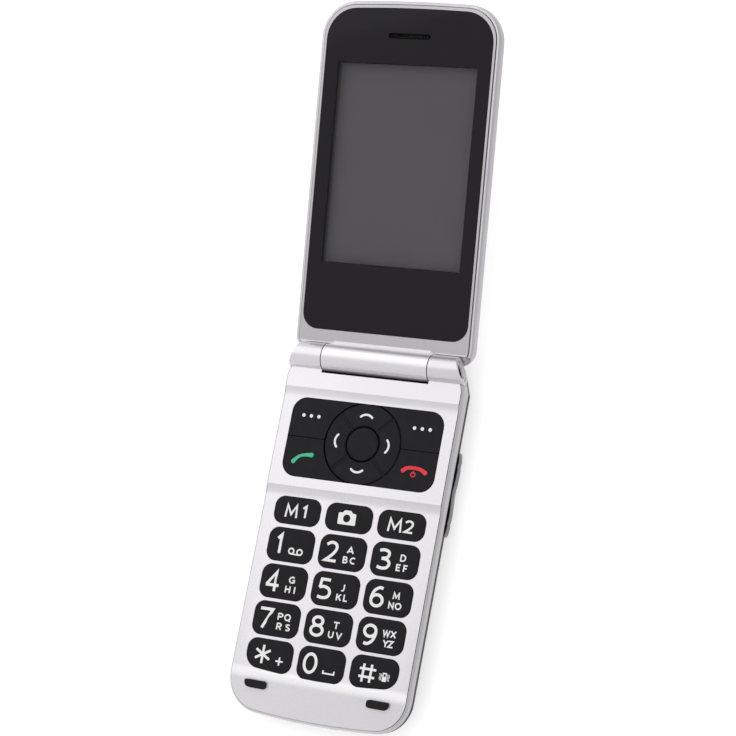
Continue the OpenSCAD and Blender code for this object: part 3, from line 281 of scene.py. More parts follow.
def lid_finish(p, color, tone):
    """Painted shade on the face beyond the barrel, and painted highlights on the barrel's crest and
    the pad's end.
    """
    reach = lid_reach(p)
    # Painted shade: the face beyond the barrel in a darker copy of the lacquer
    face = p.span(reach, PAD_END * MM, (PAD_END + 0.1) * MM, 0, 1)
    color = p.mix(face, color, p.mix(tone, *LID_FACE_SHADED))
    # Painted highlights along the pad's end and the barrel's crest
    pad = p.times(band(p, reach, PAD_END, 0.35, 0.15),
                  band(p, p.coord("X"), 0, PAD_HALF_W, 0.5))
    crest = band(p, reach, BARREL_CREST, 0.9, 0.9)
    painted_highlights = p.math("MAXIMUM", p.times(pad, 0.9), p.times(crest, 0.75))
    return p.mix(painted_highlights, color, PAINTED_HIGHLIGHT)


def cap_finish(p, color, tone):
    """The dish in each end of the hinge is painted black, as painted shade in the recess."""
    x = p.math("ABSOLUTE", p.coord("X"))
    out = p.math("ADD", p.times(x, math.cos(SLANT)), p.times(p.coord("Y"), math.sin(SLANT)))
    return p.mix(p.span(out, DISH_FLOOR * MM, (DISH_FLOOR + 0.15) * MM, 1, 0), color, DISH_SHADE)


def rocker_finish(p, color, tone):
    """Silver on the outer face alone, and black elsewhere as painted shade in the rocker's pocket.
    """
    return p.mix(p.span(p.facing("X"), 0.5, 0.75, 0, 1), ROCKER_SHADE, color)


def steel():
    """Brushed sheet steel."""
    p = Paint("steel", (0.6, 0.6, 0.61), 0.3, 1.0)
    stretch = p.node("ShaderNodeMapping")
    stretch.inputs["Scale"].default_value = (1, 14, 14)
    p.link(p.coords, stretch.inputs["Vector"])
    p.coords = stretch.outputs[0]
    brush = p.noise(1.2, 3)
    p.give(Base_Color=p.mix(brush, (0.5, 0.5, 0.51), (0.68, 0.68, 0.69)),
           Roughness=p.span(brush, 0.3, 0.7, 0.24, 0.38))
    return p.bump(brush, 0.004, 0.4).mat


def circuit():
    """Green solder mask with copper tracks showing through."""
    p = Paint("circuit_board", (0.01, 0.16, 0.08), 0.35, Coat_Weight=0.3, Coat_Roughness=0.2)
    cells = p.node("ShaderNodeTexBrick", Scale=1 / (3.2 * MM))
    cells.inputs["Mortar Size"].default_value = 0.035
    for shade, name in ((0, "Color1"), (0.25, "Color2"), (1, "Mortar")):
        cells.inputs[name].default_value = (shade, shade, shade, 1)
    p.link(p.coords, cells.inputs["Vector"])
    p.give(Base_Color=p.mix(cells.outputs["Color"], (0.008, 0.12, 0.06), (0.05, 0.3, 0.14)))
    return p.bump(cells.outputs["Fac"], 0.03).mat


def glass():
    """Window: smoke-tinted over the display, black printed around it, under one gloss."""
    p = Paint("window_clear", (0.003, 0.003, 0.0032), 0.04)
    clear = over_display(p, 0.15)
    return p.give(
        Base_Color=p.mix(clear, (0.0145, 0.0127, 0.0149), (0.003, 0.003, 0.0032)),
        Alpha=p.span(clear, 0, 1, 1, 0.2),
        Specular_IOR_Level=p.span(clear, 0, 1, 0.145, 0.72),
        Roughness=p.span(p.noise(9), 0.3, 0.7, 0.03, 0.06)).mat


def screen():
    """Display, switched off: a grey cell with its fine rows, inside a darker frame."""
    p = Paint("screen_off", (0.18, 0.17, 0.19), 0.5, Specular_IOR_Level=0.2)
    inside = over_display(p, 0)
    rows = p.math("SINE", p.times(lid_reach(p), 2 * math.pi / (0.18 * MM)))
    cell = p.mix(p.noise(30, 1), (0.198, 0.184, 0.21), (0.228, 0.214, 0.24))
    cell = p.mix(p.times(p.span(rows, -1, 1, 0, 1), 0.06), cell, (0.12, 0.12, 0.128))
    return p.give(Base_Color=p.mix(inside, (0.12, 0.114, 0.125), cell)).mat


def lens():
    p = Paint("lens_glass", (0.01, 0.011, 0.014), 0.05, Coat_Weight=1.0, Coat_Roughness=0.03)
    return p.give(Base_Color=p.mix(p.noise(2.0, 1), (0.006, 0.007, 0.012),
                                   (0.014, 0.016, 0.024))).mat


def print_ink(name, dark, light):
    """Screen-printed ink: nearly flat, with the slight mottle of its mesh."""
    return grained(name, dark, light, 0.12, (0.45, 0.6), 0.002)


SLOTS = {
    # Darker copy of the pearl lacquer: painted shade on the side frame and shells
    "silver_case": silver_paint("silver_grey", *GREY_SHADED),
    # Moulded case with a spark-eroded texture
    "black_case": grained("case_black", (0.014, 0.0135, 0.015), (0.023, 0.022, 0.0245),
                          0.16, (0.44, 0.58), 0.012, Specular_IOR_Level=0.3),
    "black_rubber": grained("rubber_black", (0.009, 0.009, 0.009), (0.016, 0.016, 0.016),
                            0.2, (0.62, 0.8), 0.01, Specular_IOR_Level=0.2),
    "battery_label": grained("battery_wrap", (0.26, 0.27, 0.29), (0.36, 0.37, 0.39),
                             0.5, (0.4, 0.5), 0.01),
    "circuit_board": circuit(),
    "steel": steel(),
    "gold_copper": grained("gold_copper", (0.74, 0.52, 0.22), (0.88, 0.68, 0.34),
                           0.4, (0.24, 0.36), 0.003, metal=1.0),
    "window_glass": glass(),
    # Black film printed behind the window
    "mask_black": grained("mask_black", (0.02, 0.0172, 0.0205), (0.026, 0.0224, 0.0265),
                          3.0, (0.45, 0.55), 0.001, Specular_IOR_Level=0.1),
    "screen": screen(),
    # Dark woven cloth over the earpiece
    "mesh_grey": grained("mesh_grey", (0.002, 0.002, 0.002), (0.005, 0.005, 0.005),
                         0.3, (0.6, 0.8), 0.01, Specular_IOR_Level=0.06),
    "lens_glass": lens(),
    # Silver outer face, with the rest painted black as shade
    "rocker_silver": grained("rocker_silver", (0.23, 0.22, 0.235), (0.29, 0.28, 0.295),
                             0.11, (0.33, 0.4), 0.003, metal=0.6, finish=rocker_finish),
    # Satin key caps with a very fine texture
    "key_black": grained("key_satin", (0.0075, 0.0065, 0.008), (0.0125, 0.011, 0.0135),
                         0.09, (0.46, 0.56), 0.003, Specular_IOR_Level=0.17),
}
SILVERS = {
    "front_plate": silver_paint("silver_pearl", *PEARL, plate_finish),
    "lid_frame": silver_paint("silver_pearl_lid", *PEARL, lid_finish),
    "hinge_end_caps": silver_paint("silver_pearl_caps", *PEARL, cap_finish),
}
WHITE = print_ink("legend_white", (0.9, 0.9, 0.9), (0.96, 0.96, 0.96))
GREEN = print_ink("legend_green", (0.045, 0.5, 0.27), (0.065, 0.58, 0.33))
RED = print_ink("legend_red", (0.72, 0.022, 0.04), (0.82, 0.036, 0.055))


# Soft edges ------------------------------------------------------------------

WELD_DISTANCE = 0.002 * MM
# Width of the softened edge in mm, its segments, and the largest angle shaded smooth
NUMBER_KEY_EDGE = (0.3, 3, 35)
CORNER_KEY_EDGE = (0.5, 4, 35)
HIDDEN_EDGE = (0, 0, 35)
EDGES = {
    "front_plate": (0.12, 2, 14),
    "side_frame": (0.06, 1, 35),
    "lid_frame": (0.12, 2, 35),
    "lid_shell": (0.05, 1, 35),
    "rear_shell": (0.08, 1, 35),
    "battery_cover": (0.2, 2, 35),
    "window": (0.12, 2, 35),
    "lid_bumpers": (0.35, 3, 35),
    "nav_ring": (0.1, 2, 35),
    "ok_key": (0.1, 2, 35),
    "volume_rocker": (0.3, 3, 35),
    "camera_lens": (0.12, 2, 35),
    "hinge_end_caps": (0.15, 2, 35),
    "key_mat": HIDDEN_EDGE,
}


def node_group(name):
    group = bpy.data.node_groups.new(name, "GeometryNodeTree")
    for way in ("INPUT", "OUTPUT"):
        group.interface.new_socket("Geometry", in_out=way, socket_type="NodeSocketGeometry")
    return group, group.nodes.new("NodeGroupInput"), group.nodes.new("NodeGroupOutput")


def weld_group():
    """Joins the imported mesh's split corners and drops its stored normals."""
    group, start, end = node_group("weld")
    merge = group.nodes.new("GeometryNodeMergeByDistance")
    merge.inputs["Distance"].default_value = WELD_DISTANCE
    drop = group.nodes.new("GeometryNodeRemoveAttribute")
    drop.inputs["Name"].default_value = "custom_normal"
    group.links.new(start.outputs[0], drop.inputs[0])
    group.links.new(drop.outputs[0], merge.inputs[0])
    group.links.new(merge.outputs[0], end.inputs[0])
    return group


def smooth_group(degrees):
    """Shades smooth across every edge flatter than the angle."""
    group, start, end = node_group(f"smooth_{degrees}")
    faces = group.nodes.new("GeometryNodeSetShadeSmooth")
    edges = group.nodes.new("GeometryNodeSetShadeSmooth")
    edges.domain = "EDGE"
    edges.inputs["Shade Smooth"].default_value = False
    angle = group.nodes.new("GeometryNodeInputMeshEdgeAngle")
    sharp = group.nodes.new("FunctionNodeCompare")
    sharp.data_type = "FLOAT"
    sharp.operation = "GREATER_THAN"
    sharp.inputs[1].default_value = math.radians(degrees)
    group.links.new(angle.outputs["Unsigned Angle"], sharp.inputs[0])
    group.links.new(start.outputs[0], faces.inputs[0])
    group.links.new(faces.outputs[0], edges.inputs[0])
    group.links.new(sharp.outputs[0], edges.inputs["Selection"])
    group.links.new(edges.outputs[0], end.inputs[0])
    return group


WELD = weld_group()
SMOOTH = {angle: smooth_group(angle) for angle in (14, 35)}


def edge_of(name):
    """A node's softened edge, as EDGES gives it."""
    if name in EDGES:
        return EDGES[name]
    if name.startswith("key_"):
        return NUMBER_KEY_EDGE
    if name in ("soft_key_left", "soft_key_right", "call_key", "end_key"):
        return CORNER_KEY_EDGE
    return HIDDEN_EDGE


def soften(obj, width, segments, angle):
    """Rounds an object's sharp edges, and shades it smooth but for those past the angle."""
    obj.modifiers.new("weld", "NODES").node_group = WELD
    if obj.name == "window":
        # Its faces come as fans of triangles, and their edges would show as lines in the gloss
        whole = obj.modifiers.new("whole", "DECIMATE")
        whole.decimate_type = "DISSOLVE"
        whole.angle_limit = math.radians(0.5)
    if width:
        bevel = obj.modifiers.new("edge", "BEVEL")
        bevel.width = width * MM
        bevel.segments = segments
        bevel.limit_method = "ANGLE"
        bevel.angle_limit = math.radians(40)
        bevel.miter_outer = "MITER_ARC"
    obj.modifiers.new("smooth", "NODES").node_group = SMOOTH[angle]
    if width:
        flat = obj.modifiers.new("flat", "WEIGHTED_NORMAL")
        flat.keep_sharp = True
        flat.weight = 90


for name, obj in nodes.items():
    for slot in obj.material_slots:
        slot.material = SLOTS[slot.material.name.split(".")[0]]
    if name in SILVERS:
        obj.material_slots[0].material = SILVERS[name]
    soften(obj, *edge_of(name))


# Key legends -----------------------------------------------------------------

# How far a print stands above its key and reaches into it, and its shapes above one another, in mm
INK = 0.03
SUNK = 0.02
LAYER = 0.002


def crown_z(dx, dy):
    """Height of a number key's crowned top at an offset from its centre."""
    return KEY_TOP - KEY_CROWN + math.sqrt(KEY_CROWN ** 2 - dx * dx - dy * dy)


def on_key(row, col):
    """Places a flat point on a number key's crown."""
    cx, cy = (col - 1) * PITCH, ROW_Y[row]
    return lambda x, y: (cx + x, cy + y, crown_z(x, y))


def on_nav(x, y):
    return x, y, NAV_TOP


def printed(name, shapes, place, material, body):
    """One thin print on a key from closed shapes, each a list of outlines, the first outside."""
    verts, faces = [], []
    for level, outlines in enumerate(shapes):
        curve = bpy.data.curves.new(name, "CURVE")
        curve.dimensions = "2D"
        curve.fill_mode = "BOTH"
        curve.extrude = 0.5
        for pts in outlines:
            spline = curve.splines.new("POLY")
            spline.points.add(len(pts) - 1)
            spline.use_cyclic_u = True
            for point, (x, y) in zip(spline.points, pts):
                point.co = (x, y, 0, 1)
        temp = bpy.data.objects.new(name, curve)
        bpy.context.scene.collection.objects.link(temp)
        bpy.context.view_layer.update()
        part = bpy.data.meshes.new_from_object(temp)
        bpy.data.objects.remove(temp)
        first = len(verts)
        for v in part.vertices:
            x, y, z = place(v.co.x, v.co.y)
            rise = INK + level * LAYER if v.co.z > 0 else -SUNK
            verts.append(Vector((x, y, z + rise)) * MM)
        faces += [[first + i for i in f.vertices] for f in part.polygons]
        bpy.data.meshes.remove(part)
    mesh = bpy.data.meshes.new(name)
    mesh.from_pydata(verts, [], faces)
    mesh.materials.append(material)
    obj = bpy.data.objects.new(name, mesh)
    bpy.context.scene.collection.objects.link(obj)
    weld = obj.modifiers.new("weld", "WELD")
    weld.merge_threshold = 1e-7
    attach(obj, body)


def loop(cx, cy, rx, ry=None, steps=36):
    """Points of an ellipse."""
    ry = rx if ry is None else ry
    return [(cx + rx * math.cos(math.tau * i / steps), cy + ry * math.sin(math.tau * i / steps))
            for i in range(steps)]


def smooth_path(pts, steps=6):
    """Catmull-Rom points through pts."""
    out = []
    for i in range(len(pts) - 1):
        ends = pts[max(i - 1, 0)], pts[i], pts[i + 1], pts[min(i + 2, len(pts) - 1)]
        for k in range(steps):
            t = k / steps
            out.append(tuple(0.5 * (2 * b + (c - a) * t + (2 * a - 5 * b + 4 * c - d) * t * t
                                    + (3 * b - a - 3 * c + d) * t ** 3)
                             for a, b, c, d in zip(*ends)))
    out.append(pts[-1])
    return out


def stroke(pts, width, round_ends=False):
    """Outline of a stroke along pts with mitred corners; width is one number or one a point."""
    n = len(pts)
    half = [w / 2 for w in (width if isinstance(width, list) else [width] * n)]
    left, right = [], []
    for i, (x, y) in enumerate(pts):
        before = Vector((x - pts[i - 1][0], y - pts[i - 1][1])).normalized() if i else None
        after = (Vector((pts[i + 1][0] - x, pts[i + 1][1] - y)).normalized() if i < n - 1
                 else before)
        before = before or after
        normal = Vector((-(before.y + after.y), before.x + after.x)).normalized()
        across = Vector((-after.y, after.x))
        reach = half[i] / max(normal.dot(across), 0.38)
        left.append((x + normal.x * reach, y + normal.y * reach))
        right.append((x - normal.x * reach, y - normal.y * reach))
    outline = list(left)
    if round_ends:
        outline += half_round(pts[-1], left[-1], half[-1])
    outline += right[::-1]
    if round_ends:
        outline += half_round(pts[0], right[0], half[0])
    return outline


def half_round(centre, start, r):
    """Points of a half circle clockwise from the start, without its ends."""
    a0 = math.atan2(start[1] - centre[1], start[0] - centre[0])
    return [(centre[0] + r * math.cos(a0 - math.pi * k / 8),
             centre[1] + r * math.sin(a0 - math.pi * k / 8)) for k in range(1, 8)]


# Plain sans-serif letters as centrelines in a unit box. A tuple is (kind, points), where S is
# smooth, L has corners, SL is smooth with a corner run after it, and O is an ellipse, as its
# centre and radii.
BOWL_C = [(0.95, 0.9), (0.58, 1), (0.15, 0.83), (0, 0.5), (0.15, 0.17), (0.58, 0), (0.95, 0.1)]
LETTERS = {
    "0": [("O", (0.5, 0.5, 0.5, 0.5))],
    "1": [("L", [(0, 0.8), (1, 1.02), (1, 0)])],
    "2": [("SL", [(0.04, 0.86), (0.42, 1), (0.8, 0.93), (0.92, 0.73), (0.78, 0.48), (0.42, 0.2),
                  (0.06, 0)], [(1, 0)])],
    "3": [("S", [(0.06, 0.94), (0.4, 1), (0.8, 0.93), (0.88, 0.75), (0.72, 0.59), (0.3, 0.53)]),
          ("S", [(0.3, 0.53), (0.8, 0.47), (1, 0.27), (0.82, 0.06), (0.42, 0), (0, 0.06)])],
    "4": [("L", [(0.73, -0.06), (0.73, 1), (0, 0.28)]), ("L", [(-0.06, 0.27), (1.06, 0.27)])],
    "5": [("L", [(0.92, 1), (0.17, 1), (0.1, 0.54)]),
          ("S", [(0.06, 0.56), (0.45, 0.61), (0.86, 0.52), (1, 0.3), (0.84, 0.07), (0.42, 0),
                 (0, 0.05)])],
    "6": [("O", (0.52, 0.3, 0.48, 0.3)),
          ("S", [(0.92, 0.97), (0.62, 1), (0.24, 0.82), (0.05, 0.5), (0.04, 0.3)])],
    "7": [("L", [(-0.06, 1), (1, 1), (0.3, -0.06)])],
    "8": [("O", (0.5, 0.77, 0.41, 0.23)), ("O", (0.5, 0.27, 0.5, 0.27))],
    "9": [("O", (0.48, 0.7, 0.48, 0.3)),
          ("S", [(0.96, 0.7), (0.95, 0.5), (0.76, 0.18), (0.38, 0), (0.08, 0.03)])],
    "A": [("L", [(0, 0), (0.5, 1.05), (1, 0)]), ("L", [(0.2, 0.32), (0.8, 0.32)])],
    "B": [("L", [(0, -0.1), (0, 1.1)]),
          ("S", [(0, 1), (0.6, 1), (0.88, 0.77), (0.6, 0.54), (0, 0.54)]),
          ("S", [(0, 0.54), (0.66, 0.54), (1, 0.27), (0.66, 0), (0, 0)])],
    "C": [("S", BOWL_C)],
    "D": [("L", [(0, -0.1), (0, 1.1)]),
          ("S", [(0, 1), (0.5, 1), (0.92, 0.8), (1, 0.5), (0.92, 0.2), (0.5, 0), (0, 0)])],
    "E": [("L", [(1.1, 1), (0, 1), (0, 0), (1.1, 0)]), ("L", [(0, 0.52), (0.95, 0.52)])],
    "F": [("L", [(1.1, 1), (0, 1), (0, -0.1)]), ("L", [(0, 0.5), (0.95, 0.5)])],
    "G": [("SL", BOWL_C[:-1] + [(1, 0.12)], [(1, 0.46), (0.62, 0.46)])],
    "H": [("L", [(0, -0.1), (0, 1.1)]), ("L", [(1, -0.1), (1, 1.1)]),
          ("L", [(0, 0.52), (1, 0.52)])],
    "I": [("L", [(0.5, -0.1), (0.5, 1.1)])],
    "J": [("S", [(1, 1.1), (1, 0.6), (0.96, 0.25), (0.66, 0.02), (0, 0)])],
    "K": [("L", [(0, -0.1), (0, 1.1)]), ("L", [(0.95, 1.05), (0.1, 0.42)]),
          ("L", [(0.32, 0.62), (1, -0.06)])],
    "L": [("L", [(0, 1.1), (0, 0), (1.1, 0)])],
    "M": [("L", [(0, -0.08), (0.08, 1), (0.5, 0.2), (0.92, 1), (1, -0.08)])],
    "N": [("L", [(0, -0.1), (0, 1), (1, 0), (1, 1.1)])],
    "O": [("O", (0.5, 0.5, 0.5, 0.5))],
    "P": [("L", [(0, -0.1), (0, 1.1)]),
          ("S", [(0, 1), (0.62, 1), (1, 0.75), (0.62, 0.47), (0, 0.47)])],
    "Q": [("O", (0.5, 0.5, 0.5, 0.5)), ("L", [(0.58, 0.2), (1.05, -0.15)])],
    "R": [("L", [(0, -0.1), (0, 1.1)]),
          ("S", [(0, 1), (0.62, 1), (1, 0.75), (0.62, 0.47), (0, 0.47)]),
          ("L", [(0.5, 0.47), (1, -0.08)])],
    "S": [("S", [(0.92, 0.92), (0.55, 1), (0.12, 0.92), (0.06, 0.7), (0.42, 0.53), (0.86, 0.38),
                 (0.98, 0.2), (0.8, 0.04), (0.4, 0), (0.02, 0.08)])],
    "T": [("L", [(-0.05, 1), (1.05, 1)]), ("L", [(0.5, 1), (0.5, -0.1)])],
    "U": [("S", [(0, 1.1), (0, 0.6), (0.06, 0.2), (0.5, 0), (0.94, 0.2), (1, 0.6), (1, 1.1)])],
    "V": [("L", [(0, 1.06), (0.5, 0), (1, 1.06)])],
    "W": [("L", [(0, 1.06), (0.25, 0), (0.5, 0.92), (0.75, 0), (1, 1.06)])],
    "X": [("L", [(0, 1.06), (1, -0.06)]), ("L", [(1, 1.06), (0, -0.06)])],
    "Y": [("L", [(0, 1.06), (0.5, 0.46), (1, 1.06)]), ("L", [(0.5, 0.5), (0.5, -0.1)])],
    "Z": [("L", [(0, 1), (1, 1), (0, 0), (1.08, 0)])],
}


def letter(char, x0, y0, x1, y1, pen):
    """The letter's strokes, filling the box, as closed shapes."""
    def at(u, v):
        return x0 + pen / 2 + u * (x1 - x0 - pen), y0 + pen / 2 + v * (y1 - y0 - pen)
    shapes = []
    for kind, *parts in LETTERS[char]:
        if kind == "O":
            cu, cv, ru, rv = parts[0]
            cx, cy = at(cu, cv)
            rx, ry = ru * (x1 - x0 - pen), rv * (y1 - y0 - pen)
            shapes.append([loop(cx, cy, rx + pen / 2, ry + pen / 2),
                           loop(cx, cy, rx - pen / 2, ry - pen / 2)])
            continue
        pts = [at(u, v) for u, v in parts[0]]
        if kind != "L":
            pts = smooth_path(pts)
        if kind == "SL":
            pts += [at(u, v) for u, v in parts[1]]
        shapes.append([stroke(pts, pen)])
    return shapes


# Widths as shares of the height, where a letter isn't NORMAL_WIDTH
NORMAL_WIDTH = 0.84
WIDTHS = {"I": 0.23, "J": 0.55, "E": 0.7, "F": 0.66, "L": 0.66, "B": 0.78, "S": 0.76, "1": 0.36,
          "A": 1.1, "M": 1.04, "W": 1.15, "O": 0.98, "Q": 1.0, "G": 0.95, "C": 0.88, "T": 0.95,
          "V": 0.98, "X": 0.9, "Y": 0.9, "2": 0.72}


def word(chars, x0, x1, y0, y1, pen):
    """Letters of natural width, spread evenly from x0 to x1."""
    height = y1 - y0
    widths = [WIDTHS.get(c, NORMAL_WIDTH) * height for c in chars]
    gap = (x1 - x0 - sum(widths)) / max(len(chars) - 1, 1)
    shapes, x = [], x0 if len(chars) > 1 else (x0 + x1 - widths[0]) / 2
    for c, w in zip(chars, widths):
        shapes += letter(c, x, y0, x + w, y1, pen)
        x += w + gap
    return shapes


DIGIT_PEN = 0.86
LETTER_PEN = 0.4
MARK_PEN = 0.6
# Digit, row, column, and its upper and lower line of letters, each with its two ends in x
NUMBER_KEYS = (
    ("1", 1, 0, None, None), ("2", 1, 1, ("A", 1.5, 3.5), ("BC", 0.6, 4.55)),
    ("3", 1, 2, ("D", 1.55, 3.3), ("EF", 0.75, 4.25)),
    ("4", 2, 0, ("G", 1.6, 3.6), ("HI", 0.95, 4.15)),
    ("5", 2, 1, ("J", 1.7, 2.95), ("KL", 0.75, 4.3)),
    ("6", 2, 2, ("M", 1.5, 3.5), ("NO", 0.55, 4.5)),
    ("7", 3, 0, ("PQ", 0.4, 4.45), ("RS", 0.5, 4.8)),
    ("8", 3, 1, ("T", 1.5, 3.45), ("UV", 0.45, 4.75)),
    ("9", 3, 2, ("WX", 0.4, 4.6), ("YZ", 0.95, 4.2)), ("0", 4, 1, None, None),
)
for digit, row, col, upper, lower in NUMBER_KEYS:
    x0, x1 = (-4.65, -2.75) if digit == "1" else (-5.55, -1.05)
    shapes = letter(digit, x0, -3.05, x1, 3.0, DIGIT_PEN)
    for line, y0, y1 in ((upper, -0.08, 1.95), (lower, -2.85, -0.85)):
        if line:
            shapes += word(*line, y0, y1, LETTER_PEN)
    printed(f"legend_{digit}", shapes, on_key(row, col), WHITE, f"key_{digit}_body")
printed("legend_m1", letter("M", -3.7, -2.08, 0.35, 1.82, MARK_PEN)
        + letter("1", 1.55, -2.0, 3.05, 1.86, 0.62), on_key(0, 0), WHITE, "key_m1_body")
printed("legend_m2", letter("M", -4.05, -2.08, 0.3, 1.8, MARK_PEN)
        + letter("2", 0.85, -2.0, 3.95, 1.75, MARK_PEN), on_key(0, 2), WHITE, "key_m2_body")

# Camera: body with a bump, and the lens left open
printed("legend_camera", [[
    [(-3.0, -1.97), (-3.2, -1.75), (-3.3, 1.1), (-3.05, 1.38), (-2.05, 1.42), (-1.6, 2.02),
     (-1.35, 2.14), (0.35, 2.14), (0.6, 2.02), (1.05, 1.42), (1.95, 1.38), (2.2, 1.1),
     (2.32, -1.75), (2.1, -1.97)],
    loop(-0.55, -0.15, 1.12)]], on_key(0, 1), WHITE, "key_camera_body")
# Voicemail: two loops on a line
printed("legend_voicemail", [
    [loop(0.62, -1.6, 1.0), loop(0.62, -1.6, 0.56)],
    [loop(3.22, -1.66, 1.0), loop(3.22, -1.66, 0.56)],
    [[(0.6, -2.6), (3.2, -2.66), (3.2, -2.26), (0.6, -2.2)]]], on_key(1, 0), WHITE, "key_1_body")
# Star and plus
STAR = (-2.0, 0.28)
STAR_R = 2.6
printed("legend_star", [
    [stroke([(STAR[0] - STAR_R * math.cos(a), STAR[1] - STAR_R * math.sin(a)),
             (STAR[0] + STAR_R * math.cos(a), STAR[1] + STAR_R * math.sin(a))], 0.72)]
    for a in (math.radians(d) for d in (30, 90, 150))]
    + [[stroke([(2.3, -1.05), (4.55, -1.05)], 0.46)], [stroke([(3.42, -2.2), (3.42, 0.08)], 0.46)]],
    on_key(4, 0), WHITE, "key_star_body")
# Space bracket
printed("legend_space", [
    [stroke([(1.08, -1.4), (1.08, -2.18), (4.38, -2.18), (4.38, -1.3)], 0.44)]],
    on_key(4, 1), WHITE, "key_0_body")
# Hash and the silent mark: a small handset between two pairs of waves
buzz = [[[(2.7, -1.72), (3.95, -1.72), (3.95, 0.72), (2.7, 0.72)],
         [(3.02, -0.35), (3.02, 0.35), (3.63, 0.35), (3.63, -0.35)]]]
for x in (1.95, 2.35, 4.3, 4.7):
    buzz.append([stroke([(x + 0.13 * (-1) ** k, -1.45 + 0.62 * k) for k in range(4)], 0.18)])
printed("legend_hash", [
    [stroke([(-3.3, -2.68), (-3.2, 2.38)], 0.7)], [stroke([(-0.95, -2.68), (-0.85, 2.38)], 0.7)],
    [stroke([(-4.45, -1.2), (0.4, -1.2)], 0.66)],
    [stroke([(-4.4, 1.0), (0.6, 1.0)], 0.66)]] + buzz,
    on_key(4, 2), WHITE, "key_hash_body")

# Navigation marks
for side, tag in ((-1, "left"), (1, "right")):
    printed(f"legend_dots_{tag}", [[loop(side * x, 33.5, 0.52)] for x in (15.0, 17.4, 19.8)],
            on_nav, WHITE, f"soft_key_{tag}_body")
RING_MIDDLE = Vector((-0.2, 27.3))
ARROW_REACH = 8.4
ARROW_R = 2.5
arrows = []
for turn in (0, 90, 180, 270):
    out = Vector((math.cos(math.radians(turn)), math.sin(math.radians(turn))))
    centre = RING_MIDDLE + (ARROW_REACH - ARROW_R) * out
    arc = [(centre.x + ARROW_R * math.cos(math.radians(turn + a)),
            centre.y + ARROW_R * math.sin(math.radians(turn + a))) for a in range(-45, 46, 9)]
    arrows.append([stroke(arc, 0.62, True)])
printed("legend_arrows", arrows, on_nav, WHITE, "nav_ring_body")


def handset(pts, thick, slim):
    """A lifted handset: a bowed stroke with heavier ends."""
    path = smooth_path(pts)
    last = len(path) - 1
    return [stroke(path, [slim + (thick - slim) * abs(2 * i / last - 1) ** 2
                          for i in range(last + 1)], True)]


printed("legend_call", [handset([(-20.35, 19.85), (-19.0, 21.3), (-17.2, 22.0), (-15.0, 22.2)],
                                1.35, 0.85)], on_nav, GREEN, "call_key_body")
printed("legend_end", [handset([(13.85, 21.15), (15.0, 21.95), (17.1, 22.2), (19.2, 21.9),
                                (20.65, 21.15)], 1.3, 1.0),
                       [loop(17.1, 20.3, 0.8), loop(17.1, 20.3, 0.5)],
                       [stroke([(17.1, 20.45), (17.1, 21.35)], 0.26)]],
        on_nav, RED, "end_key_body")


# Floor, light and camera -----------------------------------------------------

# Brightness of the surroundings in reflections, on the phone's left and right
NEAR_SIDE = 0.82
FAR_SIDE = 0.49
MIRRORS = ("Is Glossy Ray", "Is Transmission Ray")
FLOOR_HALF = 3.0
# Keeps the floor off the flat underside that it would share a plane with
FLOOR_DROP = 0.05 * MM
FLOOR_GLOW = 0.55
DAYLIGHT = 0.76


def add(name, data):
    obj = bpy.data.objects.new(name, data)
    bpy.context.scene.collection.objects.link(obj)
    return obj


def aim(obj, place, right, back):
    """Puts a light or a camera at a place, from the directions to its right and behind it."""
    back = Vector(back).normalized()
    up = back.cross(Vector(right).normalized()).normalized()
    turn = Matrix((up.cross(back), up, back)).transposed().to_4x4()
    obj.matrix_world = Matrix.Translation(place) @ turn


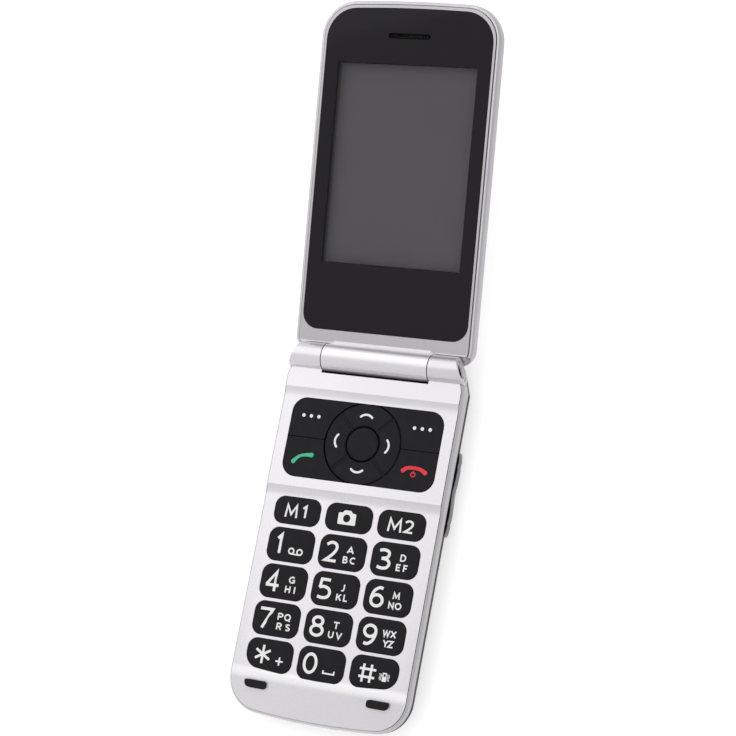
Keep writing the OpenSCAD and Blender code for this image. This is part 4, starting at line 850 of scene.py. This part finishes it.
def floor():
    """White where the camera looks, plain in the light it casts, and mirrored like the world."""
    mesh = bpy.data.meshes.new("floor")
    far, z = FLOOR_HALF, -FLOOR_DROP
    mesh.from_pydata([(-far, -far, z), (far, -far, z), (far, far, z), (-far, far, z)],
                     [], [(0, 1, 2, 3)])
    p = Paint("floor_white", (0.82, 0.82, 0.82), 0.9, Specular_IOR_Level=0.1)
    plain = p.bsdf.outputs[0]
    lit = p.node("ShaderNodeAddShader")
    p.link(plain, lit.inputs[0])
    p.link(p.node("ShaderNodeEmission", Strength=FLOOR_GLOW).outputs[0], lit.inputs[1])
    mirrored = p.node("ShaderNodeEmission")
    side = p.span(p.coord("X"), 0, 50 * MM, 1.0, FAR_SIDE / NEAR_SIDE)
    p.link(side, mirrored.inputs["Strength"])
    shader = p.pick(p.any_ray("Is Camera Ray"), plain, lit.outputs[0])
    shader = p.pick(p.any_ray(*MIRRORS), shader, mirrored.outputs[0])
    p.link(shader, p.out.inputs["Surface"])
    mesh.materials.append(p.mat)
    obj = add("floor", mesh)


def world():
    """Pale surroundings, white where the camera looks, and less bright on the phone's right."""
    studio = bpy.data.worlds.new("studio")
    bpy.context.scene.world = studio
    studio.use_nodes = True
    w = Tree(studio.node_tree)
    light = w.node("ShaderNodeBackground", Color=(1, 1, 1, 1), Strength=DAYLIGHT)
    white = w.node("ShaderNodeBackground", Color=(1, 1, 1, 1))
    x = w.axis(w.node("ShaderNodeTexCoord").outputs["Generated"], "X")
    side = w.span(x, -0.1, 0.8, NEAR_SIDE, FAR_SIDE)
    w.link(w.math("MAXIMUM", side, w.any_ray("Is Camera Ray")), white.inputs["Strength"])
    shown = w.pick(w.any_ray("Is Camera Ray", *MIRRORS), light.outputs[0], white.outputs[0])
    w.link(shown, w.node("ShaderNodeOutputWorld").inputs["Surface"])


def softbox(name, direction, distance, width, height, power):
    """An area light aimed at the middle of the phone, with its width along X."""
    light = bpy.data.lights.new(name, "AREA")
    light.shape = "RECTANGLE"
    light.size = width
    light.size_y = height
    light.energy = power
    target = Vector((0, 0.03, 0.01))
    aim(add(name, light), target + Vector(direction).normalized() * distance, (1, 0, 0), direction)


def camera():
    """The photo's camera, as fitted to the keypad, the outlines and the display."""
    data = bpy.data.cameras.new("camera")
    data.sensor_width = 36
    data.lens = 109.29
    data.clip_start = 0.02
    data.clip_end = 20
    obj = add("camera", data)
    aim(obj, Vector((259.44, -65.06, 583.08)) * MM,
        (0.907, 0.1847, -0.3786), (0.4098, -0.1787, 0.8945))
    bpy.context.scene.camera = obj


floor()
world()
softbox("key_light", (-0.41, 0.46, 0.785), distance=1.1, width=1.1, height=1.2, power=2.1)
camera()
bpy.context.scene.view_settings.view_transform = "Standard"
